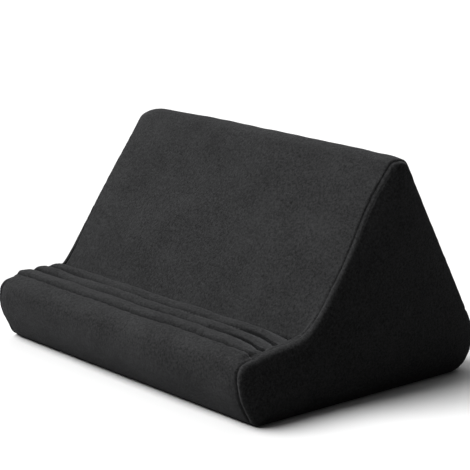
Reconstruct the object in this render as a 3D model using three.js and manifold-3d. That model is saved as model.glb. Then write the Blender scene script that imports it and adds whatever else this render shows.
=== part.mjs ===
// Tablet cushion stand: a foam wedge in a sewn cover, with a ribbed ledge in front and a zip behind.
// Millimetres, +Z up, the front towards -Y, standing on z = 0 with the origin under its middle.
import * as THREE from 'three';
import { mergeVertices } from 'three/addons/utils/BufferGeometryUtils.js';
import Module from 'manifold-3d';

const wasm = await Module();
wasm.setup();

// Driving sizes of the side profile
const WIDTH = 285;
const HEIGHT = 158;
const LEDGE_HEIGHT = 45;
const RIB_COUNT = 3;
const RIB_PITCH = 14.2;
const RIB_RISE = 5.6;
const REST_ANGLE = THREE.MathUtils.degToRad(55.6);
const BACK_ANGLE = THREE.MathUtils.degToRad(61.4);
const APEX_RADIUS = 11;
const BACK_RADIUS = 24;
const FOOT_RADIUS = 4;
const LIP_RADIUS = 9;
const LIP_RUN = 12.5;
const BELLY_REACH = 3.2;
const BELLY_RADIUS = 34;
const BELLY_SHARE = 0.58;
const FRONT_TUCK = 11;
const FRONT_RADIUS = 9;

// Sewn edges, crowns and cloth
const EDGE_RADIUS = 7.5;
const SIDE_CROWN = 4;
const SIDE_SOFT = 16;
const BASE_ROLL = 0.4;
const BASE_ROLL_HEIGHT = 18;
const SEAM_TURN = THREE.MathUtils.degToRad(12);
const REST_CROWN = 2.6;
const FRONT_CROWN = 2.2;
const BACK_CROWN = 2.6;
const CROWN_FLOOR = 12;
const RIB_FADE = 18;
const RIB_FADE_SHARE = 0.72;
const END_LIFT_SHARE = 0.62;
const CLOTH = 1.6;
const BACKING = 0.8;
const CLEAR = 0.3;
const BASE_TUCK = 14;
const RIDGE_TUCK = 12;

// Zip on the back slope
const ZIP_MARGIN = 11;
const ZIP_WINDOW = 13;
const ZIP_RISE = 50;
const TAPE_WIDTH = 13;
const TAPE_THICK = 0.6;
const POST_SLOT = 1.2;
const TOOTH_PITCH = 2.9;
const TOOTH_REACH = 1.7;
const TOOTH_CORD = 1.3;
const TOOTH_HIGH = 2;
const SLIDER_LENGTH = 11;
const SLIDER_SHOULDER = 9.6;
const SLIDER_TAIL = 8.6;
const PLATE_THICK = 1.1;
const FLANGE_THICK = 0.8;
const BAIL_LENGTH = 7.6;
const BAIL_WIDE = 2;
const BAIL_THICK = 0.9;
const PULL_LENGTH = 23;
const PULL_WIDE = 6.4;
const PULL_THICK = 1.2;
const STOP_LENGTH = 3.2;

// Sampling
const ARC_STEP = THREE.MathUtils.degToRad(15);
const LINE_STEP = 26;
const RIB_STEPS = 8;
const SIDE_RIB_STEPS = 2;

// Profile corners, worked out from the sizes above; y = 0 is the front edge on the floor
const ledgeRun = RIB_COUNT * RIB_PITCH;
const ledgeStart = LIP_RUN - FRONT_TUCK;
const footY = ledgeStart + ledgeRun;
const apexHalf = (Math.PI - REST_ANGLE - BACK_ANGLE) / 2;
const apexTilt = (REST_ANGLE - BACK_ANGLE) / 2;
const apexZ = HEIGHT + APEX_RADIUS * (Math.cos(apexTilt) / Math.sin(apexHalf) - 1);
const apexY = footY + (apexZ - LEDGE_HEIGHT) / Math.tan(REST_ANGLE);
const backY = apexY + apexZ / Math.tan(BACK_ANGLE);
const zipY = backY - ZIP_RISE / Math.tan(BACK_ANGLE);
const backAlong = { y: -Math.cos(BACK_ANGLE), z: Math.sin(BACK_ANGLE) };
const ridgeRun = APEX_RADIUS / Math.tan(apexHalf) + RIDGE_TUCK;
const lowerRun = BACK_RADIUS / Math.tan(BACK_ANGLE / 2);

const halfFace = WIDTH / 2 - SIDE_CROWN;
const edgeCentre = halfFace - EDGE_RADIUS;
const ribFadeStart = edgeCentre - RIB_FADE;

/** Corners of the side profile in order: the floor edge, the lip, the ledge, the apex and the back. */
function profileCorners(ribSteps) {
  const corners = [
    { name: 'front', y: BASE_TUCK, z: 0, r: 0 },
    { y: 0, z: 0, r: FRONT_RADIUS },
    { y: -FRONT_TUCK - BELLY_REACH, z: LEDGE_HEIGHT * BELLY_SHARE, r: BELLY_RADIUS },
    { y: -FRONT_TUCK, z: LEDGE_HEIGHT, r: LIP_RADIUS },
  ];
  for (let rib = 0; rib < RIB_COUNT; rib += 1) {
    const y = ledgeStart + rib * RIB_PITCH;
    corners.push({ name: rib === 0 ? 'ledge' : undefined, y, z: LEDGE_HEIGHT, r: 0, steps: ribSteps });
  }
  corners.push({ name: 'rest', y: footY, z: LEDGE_HEIGHT, r: FOOT_RADIUS });
  corners.push({ y: apexY, z: apexZ, r: APEX_RADIUS });
  const onBack = (run) => ({ y: apexY - backAlong.y * run, z: apexZ - backAlong.z * run, r: 0 });
  const onSlope = (run) => ({ y: zipY + backAlong.y * run, z: ZIP_RISE + backAlong.z * run, r: 0 });
  corners.push({ name: 'upper', ...onBack(ridgeRun) });
  corners.push({ name: 'zip', ...onSlope(ZIP_WINDOW / 2) });
  corners.push({ name: 'lower', ...onSlope(-ZIP_WINDOW / 2) });
  corners.push({ y: backY, z: 0, r: BACK_RADIUS });
  corners.push({ name: 'base', y: backY - lowerRun - BASE_TUCK, z: 0, r: 0 });
  return corners;
}

/** Walks the filleted profile and returns points with outward normals, marked by their stretch. */
function traceProfile(ribSteps) {
  const corners = profileCorners(ribSteps);
  const count = corners.length;
  const turns = corners.map((corner, i) => {
    const before = corners[(i + count - 1) % count];
    const after = corners[(i + 1) % count];
    const from = Math.atan2(corner.z - before.z, corner.y - before.y);
    const to = Math.atan2(after.z - corner.z, after.y - corner.y);
    const turn = Math.atan2(Math.sin(to - from), Math.cos(to - from));
    const cut = corner.r * Math.tan(Math.abs(turn) / 2);
    return { from, to, turn, cut };
  });
  const samples = [];
  let stretch = corners[0].name;
  const add = (y, z, heading) => {
    samples.push({ y, z, ny: -Math.sin(heading), nz: Math.cos(heading), stretch });
  };
  corners.forEach((corner, i) => {
    const { from, to, turn, cut } = turns[i];
    stretch = corner.name ?? stretch;
    if (corner.r === 0) {
      add(corner.y, corner.z, to);
    } else {
      const bend = Math.sign(turn);
      const startY = corner.y - Math.cos(from) * cut;
      const startZ = corner.z - Math.sin(from) * cut;
      const centreY = startY - bend * Math.sin(from) * corner.r;
      const centreZ = startZ + bend * Math.cos(from) * corner.r;
      const parts = Math.max(2, Math.ceil(Math.abs(turn) / ARC_STEP));
      for (let k = 0; k <= parts; k += 1) {
        const heading = from + (turn * k) / parts;
        const y = centreY + bend * Math.sin(heading) * corner.r;
        const z = centreZ - bend * Math.cos(heading) * corner.r;
        add(y, z, heading);
      }
    }
    const after = corners[(i + 1) % count];
    const startY = corner.y + Math.cos(to) * cut;
    const startZ = corner.z + Math.sin(to) * cut;
    const endCut = turns[(i + 1) % count].cut;
    const run = Math.hypot(after.y - startY, after.z - startZ) - endCut;
    const parts = corner.steps ?? Math.ceil(run / LINE_STEP);
    for (let k = 1; k < parts; k += 1) {
      add(startY + (Math.cos(to) * run * k) / parts, startZ + (Math.sin(to) * run * k) / parts, to);
    }
  });
  markShares(samples);
  return samples;
}

/** Gives each point its share of the way along its own stretch. */
function markShares(samples) {
  const names = [...new Set(samples.map((point) => point.stretch))];
  for (const name of names) {
    const first = samples.findIndex((point) => point.stretch === name);
    const own = samples.filter((point) => point.stretch === name);
    const end = samples[(first + own.length) % samples.length];
    let run = 0;
    own.forEach((point, k) => {
      const before = own[k - 1] ?? point;
      run += Math.hypot(point.y - before.y, point.z - before.z);
      point.run = run;
    });
    const last = own[own.length - 1];
    const whole = run + Math.hypot(end.y - last.y, end.z - last.z);
    for (const point of own) point.share = point.run / whole;
  }
}

/** The points of one stretch, ends included and drawn back by half the seam's clearance. */
function stretchOf(samples, name) {
  const first = samples.findIndex((point) => point.stretch === name);
  const own = samples.filter((point) => point.stretch === name).map((point) => ({ ...point }));
  const end = { ...samples[(first + own.length) % samples.length], stretch: name, share: 1 };
  const last = own[own.length - 1];
  if (end.ny * last.ny + end.nz * last.nz < Math.cos(ARC_STEP)) {
    end.ny = last.ny;
    end.nz = last.nz;
  }
  own.push(end);
  slide(own[0], CLEAR / 2);
  slide(end, -CLEAR / 2);
  return own;
}

function slide(point, run) {
  point.y += point.nz * run;
  point.z -= point.ny * run;
}

const smooth = (low, high, value) => THREE.MathUtils.smoothstep(value, low, high);

/** Height of the sewn channels over the ledge: rolls in the middle that die away before the side seams. */
function ribLift(point, x, turn) {
  if (point.stretch !== 'ledge') return 0;
  const along = point.share * RIB_COUNT;
  const roll = Math.sin(Math.PI * (along - Math.floor(along))) ** 0.62;
  const ends = END_LIFT_SHARE * Math.sin(Math.PI * Math.min(point.share, 1)) ** 0.5;
  const fade = RIB_FADE_SHARE * smooth(ribFadeStart, edgeCentre, Math.abs(x));
  return RIB_RISE * THREE.MathUtils.lerp(roll, ends, fade) * Math.cos(turn) ** 2;
}

/** Crown of a panel: highest in its middle, drawn in to nothing at its seams and flat on the floor. */
function crownLift(point, x) {
  const across = Math.max(0, 1 - (x / edgeCentre) ** 2) * smooth(0, CROWN_FLOOR, point.z);
  const along = Math.sin(Math.PI * Math.min(point.share, 1));
  if (point.stretch === 'rest') return REST_CROWN * across * along;
  if (point.stretch === 'front') return FRONT_CROWN * across * along ** 2;
  if (point.stretch === 'upper') return BACK_CROWN * across * along ** 2;
  return 0;
}

/** A point at the given height over the profile, on the straight width or on the rolled edge. */
function place(point, station, out) {
  const radius = EDGE_RADIUS + out;
  const rolled = station.turn > 0;
  const x = rolled ? Math.sign(station.x) * (edgeCentre + radius * Math.sin(station.turn)) : station.x;
  const roll = THREE.MathUtils.lerp(BASE_ROLL, 1, smooth(0, BASE_ROLL_HEIGHT, point.z));
  const drawn = EDGE_RADIUS * (1 - Math.cos(station.turn)) * roll;
  const lift = rolled ? out * Math.cos(station.turn) - drawn : out;
  return new THREE.Vector3(x, point.y + point.ny * lift, point.z + point.nz * lift);
}

const surface = (point, station) => ribLift(point, station.x, station.turn) + crownLift(point, station.x);
const under = (depth) => (point, station) => surface(point, station) - depth;

/** Stations across the width, from one side seam to the other. */
function stationsAcross(shares, seamClear) {
  const half = shares.map((share) => ({ x: share * edgeCentre, turn: 0 }));
  const seam = SEAM_TURN - seamClear / EDGE_RADIUS;
  half.push({ x: edgeCentre, turn: seam / 2 });
  half.push({ x: edgeCentre, turn: seam });
  const mirrored = half.filter((station) => station.x > 0).map(({ x, turn }) => ({ x: -x, turn }));
  return [...mirrored.reverse(), ...half];
}

/** Turns a list of corner positions and triangles into a closed geometry that faces outwards. */
function solidFrom(corners, triangles) {
  let volume = 0;
  for (let i = 0; i < triangles.length; i += 3) {
    const [a, b, c] = [corners[triangles[i]], corners[triangles[i + 1]], corners[triangles[i + 2]]];
    volume += a.dot(new THREE.Vector3().crossVectors(b, c));
  }
  const index = volume < 0 ? triangles.slice().reverse() : triangles;
  const geometry = new THREE.BufferGeometry();
  geometry.setFromPoints(corners);
  geometry.setIndex(index);
  return geometry;
}

/** A cloth or roll between two heights over the profile, closed along all four edges. */
function sheetSolid(points, stations, outerOut, innerOut) {
  const corners = [];
  for (const height of [outerOut, innerOut]) {
    for (const station of stations) {
      for (const point of points) corners.push(place(point, station, height(point, station)));
    }
  }
  const wide = stations.length;
  const long = points.length;
  const at = (side, i, j) => side * wide * long + i * long + j;
  const triangles = [];
  const quad = (a, b, c, d) => triangles.push(a, b, c, a, c, d);
  for (let i = 0; i + 1 < wide; i += 1) {
    for (let j = 0; j + 1 < long; j += 1) {
      quad(at(0, i, j), at(0, i + 1, j), at(0, i + 1, j + 1), at(0, i, j + 1));
      quad(at(1, i, j), at(1, i, j + 1), at(1, i + 1, j + 1), at(1, i + 1, j));
    }
    quad(at(0, i, 0), at(1, i, 0), at(1, i + 1, 0), at(0, i + 1, 0));
    quad(at(0, i, long - 1), at(0, i + 1, long - 1), at(1, i + 1, long - 1), at(1, i, long - 1));
  }
  for (let j = 0; j + 1 < long; j += 1) {
    quad(at(0, 0, j), at(0, 0, j + 1), at(1, 0, j + 1), at(1, 0, j));
    quad(at(0, wide - 1, j), at(1, wide - 1, j), at(1, wide - 1, j + 1), at(0, wide - 1, j + 1));
  }
  return solidFrom(corners, triangles);
}

/** Joins closed rings of equal count, with a middle point over the first and the last. */
function ringSolid(rings, first, last) {
  const corners = [first, ...rings.flat(), last];
  const count = rings[0].length;
  const at = (ring, k) => 1 + ring * count + (k % count);
  const triangles = [];
  for (let k = 0; k < count; k += 1) {
    triangles.push(0, at(0, k + 1), at(0, k));
    triangles.push(corners.length - 1, at(rings.length - 1, k), at(rings.length - 1, k + 1));
    for (let ring = 0; ring + 1 < rings.length; ring += 1) {
      triangles.push(at(ring, k), at(ring, k + 1), at(ring + 1, k + 1));
      triangles.push(at(ring, k), at(ring + 1, k + 1), at(ring + 1, k));
    }
  }
  return solidFrom(corners, triangles);
}

// The side faces are crowned about a point that sees the whole profile
const sideHub = { y: (footY + apexY) / 2 - FRONT_TUCK, z: LEDGE_HEIGHT * 0.72 };
const SIDE_SHARES = [1, 0.9, 0.78, 0.55, 0.28];

/** Rings of one side from its edge roll to the hub, at a depth under the cover's face, crowned inside an outline. */
function sideRings(ring, side, depth, firstTurn, hub, outline) {
  const stationAt = (turn) => ({ x: side * edgeCentre, turn });
  const rings = [firstTurn, (firstTurn + Math.PI / 2) / 2].map((turn) => ring(stationAt(turn)));
  const border = outline(stationAt(Math.PI / 2));
  const edges = border.map((corner, k) => new THREE.Line3(corner, border[(k + 1) % border.length]));
  const crowned = (y, z) => {
    const spot = new THREE.Vector3(border[0].x, y, z);
    const nearest = edges.map((edge) => edge.closestPointToPoint(spot, true, new THREE.Vector3()));
    const away = Math.min(...nearest.map((near) => near.distanceTo(spot)));
    const crown = SIDE_CROWN * (1 - Math.exp(-away / SIDE_SOFT));
    return new THREE.Vector3(side * (halfFace - depth + crown), y, z);
  };
  const rim = ring(stationAt(Math.PI / 2));
  for (const share of SIDE_SHARES) {
    rings.push(rim.map((corner) => {
      const y = THREE.MathUtils.lerp(hub.y, corner.y, share);
      return crowned(y, THREE.MathUtils.lerp(hub.z, corner.z, share));
    }));
  }
  return { rings, hub: crowned(hub.y, hub.z) };
}

function sidePanel(points, side) {
  const seam = SEAM_TURN + CLEAR / 2 / EDGE_RADIUS;
  const ringAt = (height) => (station) => points.map((point) => place(point, station, height(point, station)));
  const outerRing = ringAt(under(0));
  const innerRing = ringAt(under(CLOTH));
  const outer = sideRings(outerRing, side, 0, seam, sideHub, outerRing);
  const inner = sideRings(innerRing, side, CLOTH, seam, sideHub, innerRing);
  return ringSolid([...inner.rings.reverse(), ...outer.rings], inner.hub, outer.hub);
}

// Booleans: only cutting and keeping what lies inside a block
function toManifold(geometry) {
  const bare = geometry.clone();
  bare.deleteAttribute('normal');
  bare.deleteAttribute('uv');
  const merged = mergeVertices(bare);
  const vertProperties = new Float32Array(merged.getAttribute('position').array);
  const triVerts = new Uint32Array(merged.getIndex().array);
  return new wasm.Manifold(new wasm.Mesh({ numProp: 3, vertProperties, triVerts }));
}

function fromManifold(solid) {
  const mesh = solid.getMesh();
  const geometry = new THREE.BufferGeometry();
  geometry.setAttribute('position', new THREE.BufferAttribute(new Float32Array(mesh.vertProperties), 3));
  geometry.setIndex(new THREE.BufferAttribute(new Uint32Array(mesh.triVerts), 1));
  return geometry;
}

function block(low, high) {
  const size = new THREE.Vector3().subVectors(high, low);
  const middle = new THREE.Vector3().addVectors(low, high).multiplyScalar(0.5);
  return new THREE.BoxGeometry(size.x, size.y, size.z).translate(middle.x, middle.y, middle.z);
}

// Finishes: one material for each mesh
const suede = () => new THREE.MeshStandardMaterial({ color: 0x404246, roughness: 0.94, metalness: 0 });
const suedeSide = () => new THREE.MeshStandardMaterial({ color: 0x3a3c40, roughness: 0.94, metalness: 0 });
const foamGrey = () => new THREE.MeshStandardMaterial({ color: 0x8a8c90, roughness: 0.97, metalness: 0 });
const filling = () => new THREE.MeshStandardMaterial({ color: 0xb9bbbd, roughness: 0.98, metalness: 0 });
const lining = () => new THREE.MeshStandardMaterial({ color: 0x2c2d30, roughness: 0.95, metalness: 0 });
const tapeCloth = () => new THREE.MeshStandardMaterial({ color: 0x232427, roughness: 0.9, metalness: 0 });
const nylon = () => new THREE.MeshStandardMaterial({ color: 0x1c1d1f, roughness: 0.55, metalness: 0 });
const enamel = () => new THREE.MeshStandardMaterial({ color: 0x242528, roughness: 0.42, metalness: 0.6 });

const stand = new THREE.Group();

function addPiece(parent, name, geometry, material) {
  const mesh = new THREE.Mesh(geometry, material);
  mesh.name = name;
  parent.add(mesh);
  return mesh;
}

// Cover panels, each between two heights of the same surface
const profile = traceProfile(RIB_STEPS);
const sideProfile = traceProfile(SIDE_RIB_STEPS);
const across = stationsAcross([0, 0.36, 0.66, 0.83, 0.9, 0.95, 1], CLEAR / 2);
const COVER_PANELS = [
  ['front_panel', 'front'],
  ['ledge_panel', 'ledge'],
  ['backrest_panel', 'rest'],
  ['back_panel_upper', 'upper'],
  ['back_panel_lower', 'lower'],
  ['base_panel', 'base'],
];
for (const [name, stretch] of COVER_PANELS) {
  addPiece(stand, name, sheetSolid(stretchOf(profile, stretch), across, under(0), under(CLOTH)), suede());
}
addPiece(stand, 'side_panel_left', sidePanel(sideProfile, -1), suedeSide());
addPiece(stand, 'side_panel_right', sidePanel(sideProfile, 1), suedeSide());

// Filling rolls of the channels, and the cloth that the channels are sewn to
const ROLL_NAMES = ['rib_roll_front', 'rib_roll_middle', 'rib_roll_rear'];
const ledgePoints = stretchOf(profile, 'ledge');
const flatLevel = () => -CLOTH;
const innerAcross = stationsAcross([0, 0.36, 0.66, 0.83, 0.9, 0.95], 0).filter((station) => station.turn === 0);

/** The ledge's points between two shares of its run, with new points at both cuts. */
function ledgeBetween(low, high, steps) {
  const start = ledgePoints[0];
  const points = [];
  for (let k = 0; k <= steps; k += 1) {
    const share = THREE.MathUtils.lerp(low, high, k / steps);
    points.push({ ...start, y: ledgeStart + share * ledgeRun, share });
  }
  return points;
}

ROLL_NAMES.forEach((name, rib) => {
  const points = ledgePoints.slice(rib * RIB_STEPS + 1, (rib + 1) * RIB_STEPS);
  addPiece(stand, name, sheetSolid(points, innerAcross, under(CLOTH + CLEAR), flatLevel), filling());
});

const BACKING_EDGE = 3;
const backingPoints = ledgeBetween(BACKING_EDGE / ledgeRun, 1 - BACKING_EDGE / ledgeRun, RIB_COUNT);
const backingTop = () => -CLOTH - CLEAR;
const backingFoot = () => -CLOTH - CLEAR - BACKING;
const backing = sheetSolid(backingPoints, innerAcross, backingTop, backingFoot);
addPiece(stand, 'ledge_backing', backing, lining());

// Foam core, lofted under the cover as the two blocks that are glued together on one upright face
const FOAM_DEPTH = CLOTH + CLEAR;
const FOAM_SLACK = 0.5;
const GLUE_STEP = 2;

function foamDepth(point) {
  if (point.stretch !== 'ledge') return FOAM_DEPTH;
  const fromEdge = Math.min(point.share, 1 - point.share) * ledgeRun;
  return FOAM_DEPTH + (BACKING + CLEAR) * smooth(0, BACKING_EDGE - CLEAR, fromEdge);
}

const foamHeight = (point, station) => crownLift(point, station.x) - foamDepth(point);

/** Profile for the foam: the side profile with a point more at each edge of the backing. */
function traceFoam() {
  const edges = ledgeBetween((BACKING_EDGE - CLEAR) / ledgeRun, 1 - (BACKING_EDGE - CLEAR) / ledgeRun, 1);
  const points = [...sideProfile];
  for (const edge of edges) {
    const next = points.findIndex((point) => point.stretch === 'ledge' && point.share > edge.share);
    points.splice(next < 0 ? points.findIndex((point) => point.stretch === 'rest') : next, 0, edge);
  }
  return points;
}

const foamProfile = traceFoam();
const foamShares = [0, 0.4, 0.75, 1];
const foamStations = stationsAcross(foamShares, 0);
const footEnd = footY + FOOT_RADIUS * Math.tan(REST_ANGLE / 2) * Math.cos(REST_ANGLE);
const drawnIn = Math.sin(REST_ANGLE) * (FOAM_DEPTH + EDGE_RADIUS);
const glueY = footEnd + drawnIn + GLUE_STEP;

/** A profile point at the given y on a straight stretch, between the two points that lie about it. */
function pointAt(name, y) {
  const points = foamProfile.filter((point) => point.stretch === name);
  const next = points.findIndex((point, k) => k > 0 && (point.y - y) * (points[k - 1].y - y) <= 0);
  const before = points[next - 1];
  const after = points[next];
  const part = THREE.MathUtils.inverseLerp(before.y, after.y, y);
  const z = THREE.MathUtils.lerp(before.z, after.z, part);
  return { ...after, y, z, share: THREE.MathUtils.lerp(before.share, after.share, part) };
}

/** The glued face's points from the backrest down to the base, all at one y. */
function glueLine(y) {
  const top = { ...pointAt('rest', y - Math.sin(REST_ANGLE) * FOAM_DEPTH), pinned: y };
  const inner = [2 / 3, 1 / 3].map((share) => {
    return { y, z: LEDGE_HEIGHT * share, ny: 0, nz: 0, stretch: 'glue', share: 0 };
  });
  return [top, ...inner, pointAt('base', y)];
}

/** A foam corner; one that is pinned slides along the backrest's slope to the glued face. */
function foamCorner(point, station) {
  const corner = place(point, station, foamHeight(point, station));
  if (point.pinned === undefined) return corner;
  corner.z += (point.pinned - corner.y) * Math.tan(REST_ANGLE);
  corner.y = point.pinned;
  return corner;
}

/** A closed foam block over a loop of profile points. */
function foamBlock(points, hub) {
  const ringOf = (loop) => (station) => loop.map((point) => foamCorner(point, station));
  const ring = ringOf(points);
  const [left, right] = [-1, 1].map((side) => {
    return sideRings(ring, side, FOAM_DEPTH + FOAM_SLACK, SEAM_TURN, hub, ringOf(foamProfile));
  });
  const rings = [...left.rings.slice(1).reverse(), ...foamStations.map(ring), ...right.rings.slice(1)];
  return ringSolid(rings, left.hub, right.hub);
}

const ledgeBase = foamProfile.filter((point) => point.stretch === 'base' && point.y < glueY);
const ledgeRound = foamProfile.filter((point) => point.stretch !== 'base' && point.y < glueY - drawnIn);
const ledgeLoop = [...ledgeBase, ...ledgeRound, ...glueLine(glueY)];
const wedgeRound = foamProfile.filter((point) => point.y > glueY + CLEAR);
const wedgeLoop = [...wedgeRound, ...glueLine(glueY + CLEAR).reverse()];
const ledgeHub = { y: footY * 0.86, z: LEDGE_HEIGHT * 0.27 };
const wedgeHub = { y: apexY - APEX_RADIUS, z: LEDGE_HEIGHT };
addPiece(stand, 'foam_ledge', foamBlock(ledgeLoop, ledgeHub), foamGrey());

// The zip's own frame: x along the zip, y down the slope, z outwards, z = 0 on the cover's face
const zip = new THREE.Group();
zip.position.set(0, zipY, ZIP_RISE);
zip.rotation.x = -BACK_ANGLE;
zip.updateMatrix();
stand.add(zip);

const tapeTop = -CLOTH - CLEAR;
const tapeFoot = tapeTop - TAPE_THICK;
const toothFoot = tapeTop + CLEAR;
const toothTop = toothFoot + TOOTH_HIGH;
const plateFoot = toothTop + CLEAR;
const plateTop = plateFoot + PLATE_THICK;
const lowerTop = tapeFoot - CLEAR;
const lowerFoot = lowerTop - PLATE_THICK;
const slotHalf = POST_SLOT / 2;
const chainHalf = slotHalf + TOOTH_REACH + TOOTH_CORD;
const sliderInner = chainHalf + CLEAR;
const zipHalf = edgeCentre - ZIP_MARGIN;
const sliderX = zipHalf - SLIDER_LENGTH / 2 - CLEAR;
const tapeReach = edgeCentre;

// The foam gives way under the tapes and the slider's lower plate
const tapeBed = block(
  new THREE.Vector3(-tapeReach - 1, -TAPE_WIDTH - 1, tapeFoot - CLEAR),
  new THREE.Vector3(tapeReach + 1, TAPE_WIDTH + 1, CLOTH),
);
const sliderBed = block(
  new THREE.Vector3(-zipHalf - 1, -SLIDER_SHOULDER / 2 - 1, lowerFoot - CLEAR),
  new THREE.Vector3(zipHalf + 1, SLIDER_SHOULDER / 2 + 1, CLOTH),
);
const beds = toManifold(tapeBed.applyMatrix4(zip.matrix)).add(toManifold(sliderBed.applyMatrix4(zip.matrix)));
const wedgeFoam = toManifold(foamBlock(wedgeLoop, wedgeHub)).subtract(beds);
addPiece(stand, 'foam_wedge', fromManifold(wedgeFoam), foamGrey());

// Tapes and teeth
for (const [name, side] of [['upper', -1], ['lower', 1]]) {
  const near = side * slotHalf;
  const edge = side * TAPE_WIDTH;
  const low = new THREE.Vector3(-tapeReach, Math.min(near, edge), tapeFoot);
  const high = new THREE.Vector3(tapeReach, Math.max(near, edge), tapeTop);
  addPiece(zip, `zip_tape_${name}`, block(low, high), tapeCloth());
  addPiece(zip, `zip_teeth_${name}`, toothComb(side), nylon());
}

/** One half of the chain: a cord along the tape with a row of tapered teeth towards the other half. */
function toothComb(side) {
  const count = Math.floor((2 * zipHalf) / TOOTH_PITCH);
  const start = -(count * TOOTH_PITCH) / 2 + (side > 0 ? TOOTH_PITCH / 2 : 0);
  const root = slotHalf + TOOTH_REACH;
  const shape = new THREE.Shape();
  shape.moveTo(-zipHalf + STOP_LENGTH, side * chainHalf);
  shape.lineTo(-zipHalf + STOP_LENGTH, side * root);
  for (let k = 2; k < count - 1; k += 1) {
    const x = start + k * TOOTH_PITCH;
    shape.lineTo(x + TOOTH_PITCH * 0.14, side * root);
    shape.lineTo(x + TOOTH_PITCH * 0.22, side * slotHalf);
    shape.lineTo(x + TOOTH_PITCH * 0.68, side * slotHalf);
    shape.lineTo(x + TOOTH_PITCH * 0.76, side * root);
  }
  shape.lineTo(zipHalf, side * root);
  shape.lineTo(zipHalf, side * chainHalf);
  shape.closePath();
  const comb = new THREE.ExtrudeGeometry(shape, { depth: TOOTH_HIGH, bevelEnabled: false });
  return comb.translate(0, 0, toothFoot);
}

// Stops: one on each tape at the closed end, and one that joins both tapes at the open end
const stopHigh = TOOTH_HIGH + CLEAR;
for (const [name, side] of [['upper', -1], ['lower', 1]]) {
  const inner = side * (slotHalf + CLEAR);
  const outer = side * chainHalf;
  const low = new THREE.Vector3(zipHalf + CLEAR, Math.min(inner, outer), toothFoot);
  const high = new THREE.Vector3(zipHalf + CLEAR + STOP_LENGTH, Math.max(inner, outer), toothFoot + stopHigh);
  addPiece(zip, `zip_stop_closed_${name}`, block(low, high), enamel());
}
const openStop = block(
  new THREE.Vector3(-zipHalf - CLEAR, -chainHalf, toothFoot),
  new THREE.Vector3(-zipHalf + STOP_LENGTH - CLEAR, chainHalf, toothFoot + stopHigh),
);
addPiece(zip, 'zip_stop_open', openStop, enamel());

// Slider: two plates on a post, flanges beside the chain and the arched bail that carries the pull
function plateShape(shoulder, tail) {
  const front = SLIDER_LENGTH / 2;
  const bend = SLIDER_LENGTH * 0.16;
  const shape = new THREE.Shape();
  shape.moveTo(-front, -tail / 2 + 1);
  shape.quadraticCurveTo(-front, -tail / 2, -front + 1, -tail / 2);
  shape.lineTo(0, -tail / 2);
  shape.quadraticCurveTo(bend, -shoulder / 2, bend * 2, -shoulder / 2);
  shape.quadraticCurveTo(front, -shoulder / 2, front, 0);
  shape.quadraticCurveTo(front, shoulder / 2, bend * 2, shoulder / 2);
  shape.quadraticCurveTo(bend, shoulder / 2, 0, tail / 2);
  shape.lineTo(-front + 1, tail / 2);
  shape.quadraticCurveTo(-front, tail / 2, -front, tail / 2 - 1);
  shape.closePath();
  return shape;
}

function plate(low, shoulder, tail) {
  const options = { depth: PLATE_THICK, bevelEnabled: false, curveSegments: 4 };
  return new THREE.ExtrudeGeometry(plateShape(shoulder, tail), options).translate(0, 0, low);
}

const barRadius = PULL_THICK / 2;
const pivotZ = plateTop + barRadius + CLEAR;
const bailInside = pivotZ + barRadius + CLEAR;
const bailHalf = BAIL_LENGTH / 2;

function bailArch() {
  const sunk = plateTop - PLATE_THICK / 2;
  const top = bailInside + BAIL_THICK;
  const legIn = bailHalf - BAIL_THICK;
  const shape = new THREE.Shape();
  shape.moveTo(-bailHalf, sunk);
  shape.bezierCurveTo(-bailHalf, top, -bailHalf * 0.6, top, 0, top);
  shape.bezierCurveTo(bailHalf * 0.6, top, bailHalf, top, bailHalf, sunk);
  shape.lineTo(legIn, sunk);
  shape.bezierCurveTo(legIn, bailInside, legIn * 0.7, bailInside, 0, bailInside);
  shape.bezierCurveTo(-legIn * 0.7, bailInside, -legIn, bailInside, -legIn, sunk);
  shape.closePath();
  const arch = new THREE.ExtrudeGeometry(shape, { depth: BAIL_WIDE, bevelEnabled: false, curveSegments: 6 });
  return arch.translate(0, 0, -BAIL_WIDE / 2).rotateX(Math.PI / 2);
}

function sliderBody() {
  const post = block(
    new THREE.Vector3(SLIDER_LENGTH * 0.2, -slotHalf + CLEAR, lowerFoot + PLATE_THICK / 2),
    new THREE.Vector3(SLIDER_LENGTH * 0.42, slotHalf - CLEAR, plateFoot + PLATE_THICK / 2),
  );
  let body = toManifold(plate(plateFoot, SLIDER_SHOULDER, SLIDER_TAIL + 2 * FLANGE_THICK));
  body = body.add(toManifold(plate(lowerFoot, SLIDER_SHOULDER - 1, SLIDER_TAIL)));
  body = body.add(toManifold(post));
  for (const side of [-1, 1]) {
    const inner = side * sliderInner;
    const outer = side * (sliderInner + FLANGE_THICK);
    const low = new THREE.Vector3(-SLIDER_LENGTH * 0.4, Math.min(inner, outer), tapeTop + CLEAR);
    const high = new THREE.Vector3(0, Math.max(inner, outer), plateFoot + PLATE_THICK / 2);
    body = body.add(toManifold(block(low, high)));
  }
  return fromManifold(body.add(toManifold(bailArch())));
}

const slider = addPiece(zip, 'zip_slider', sliderBody(), enamel());
slider.position.x = sliderX;

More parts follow.
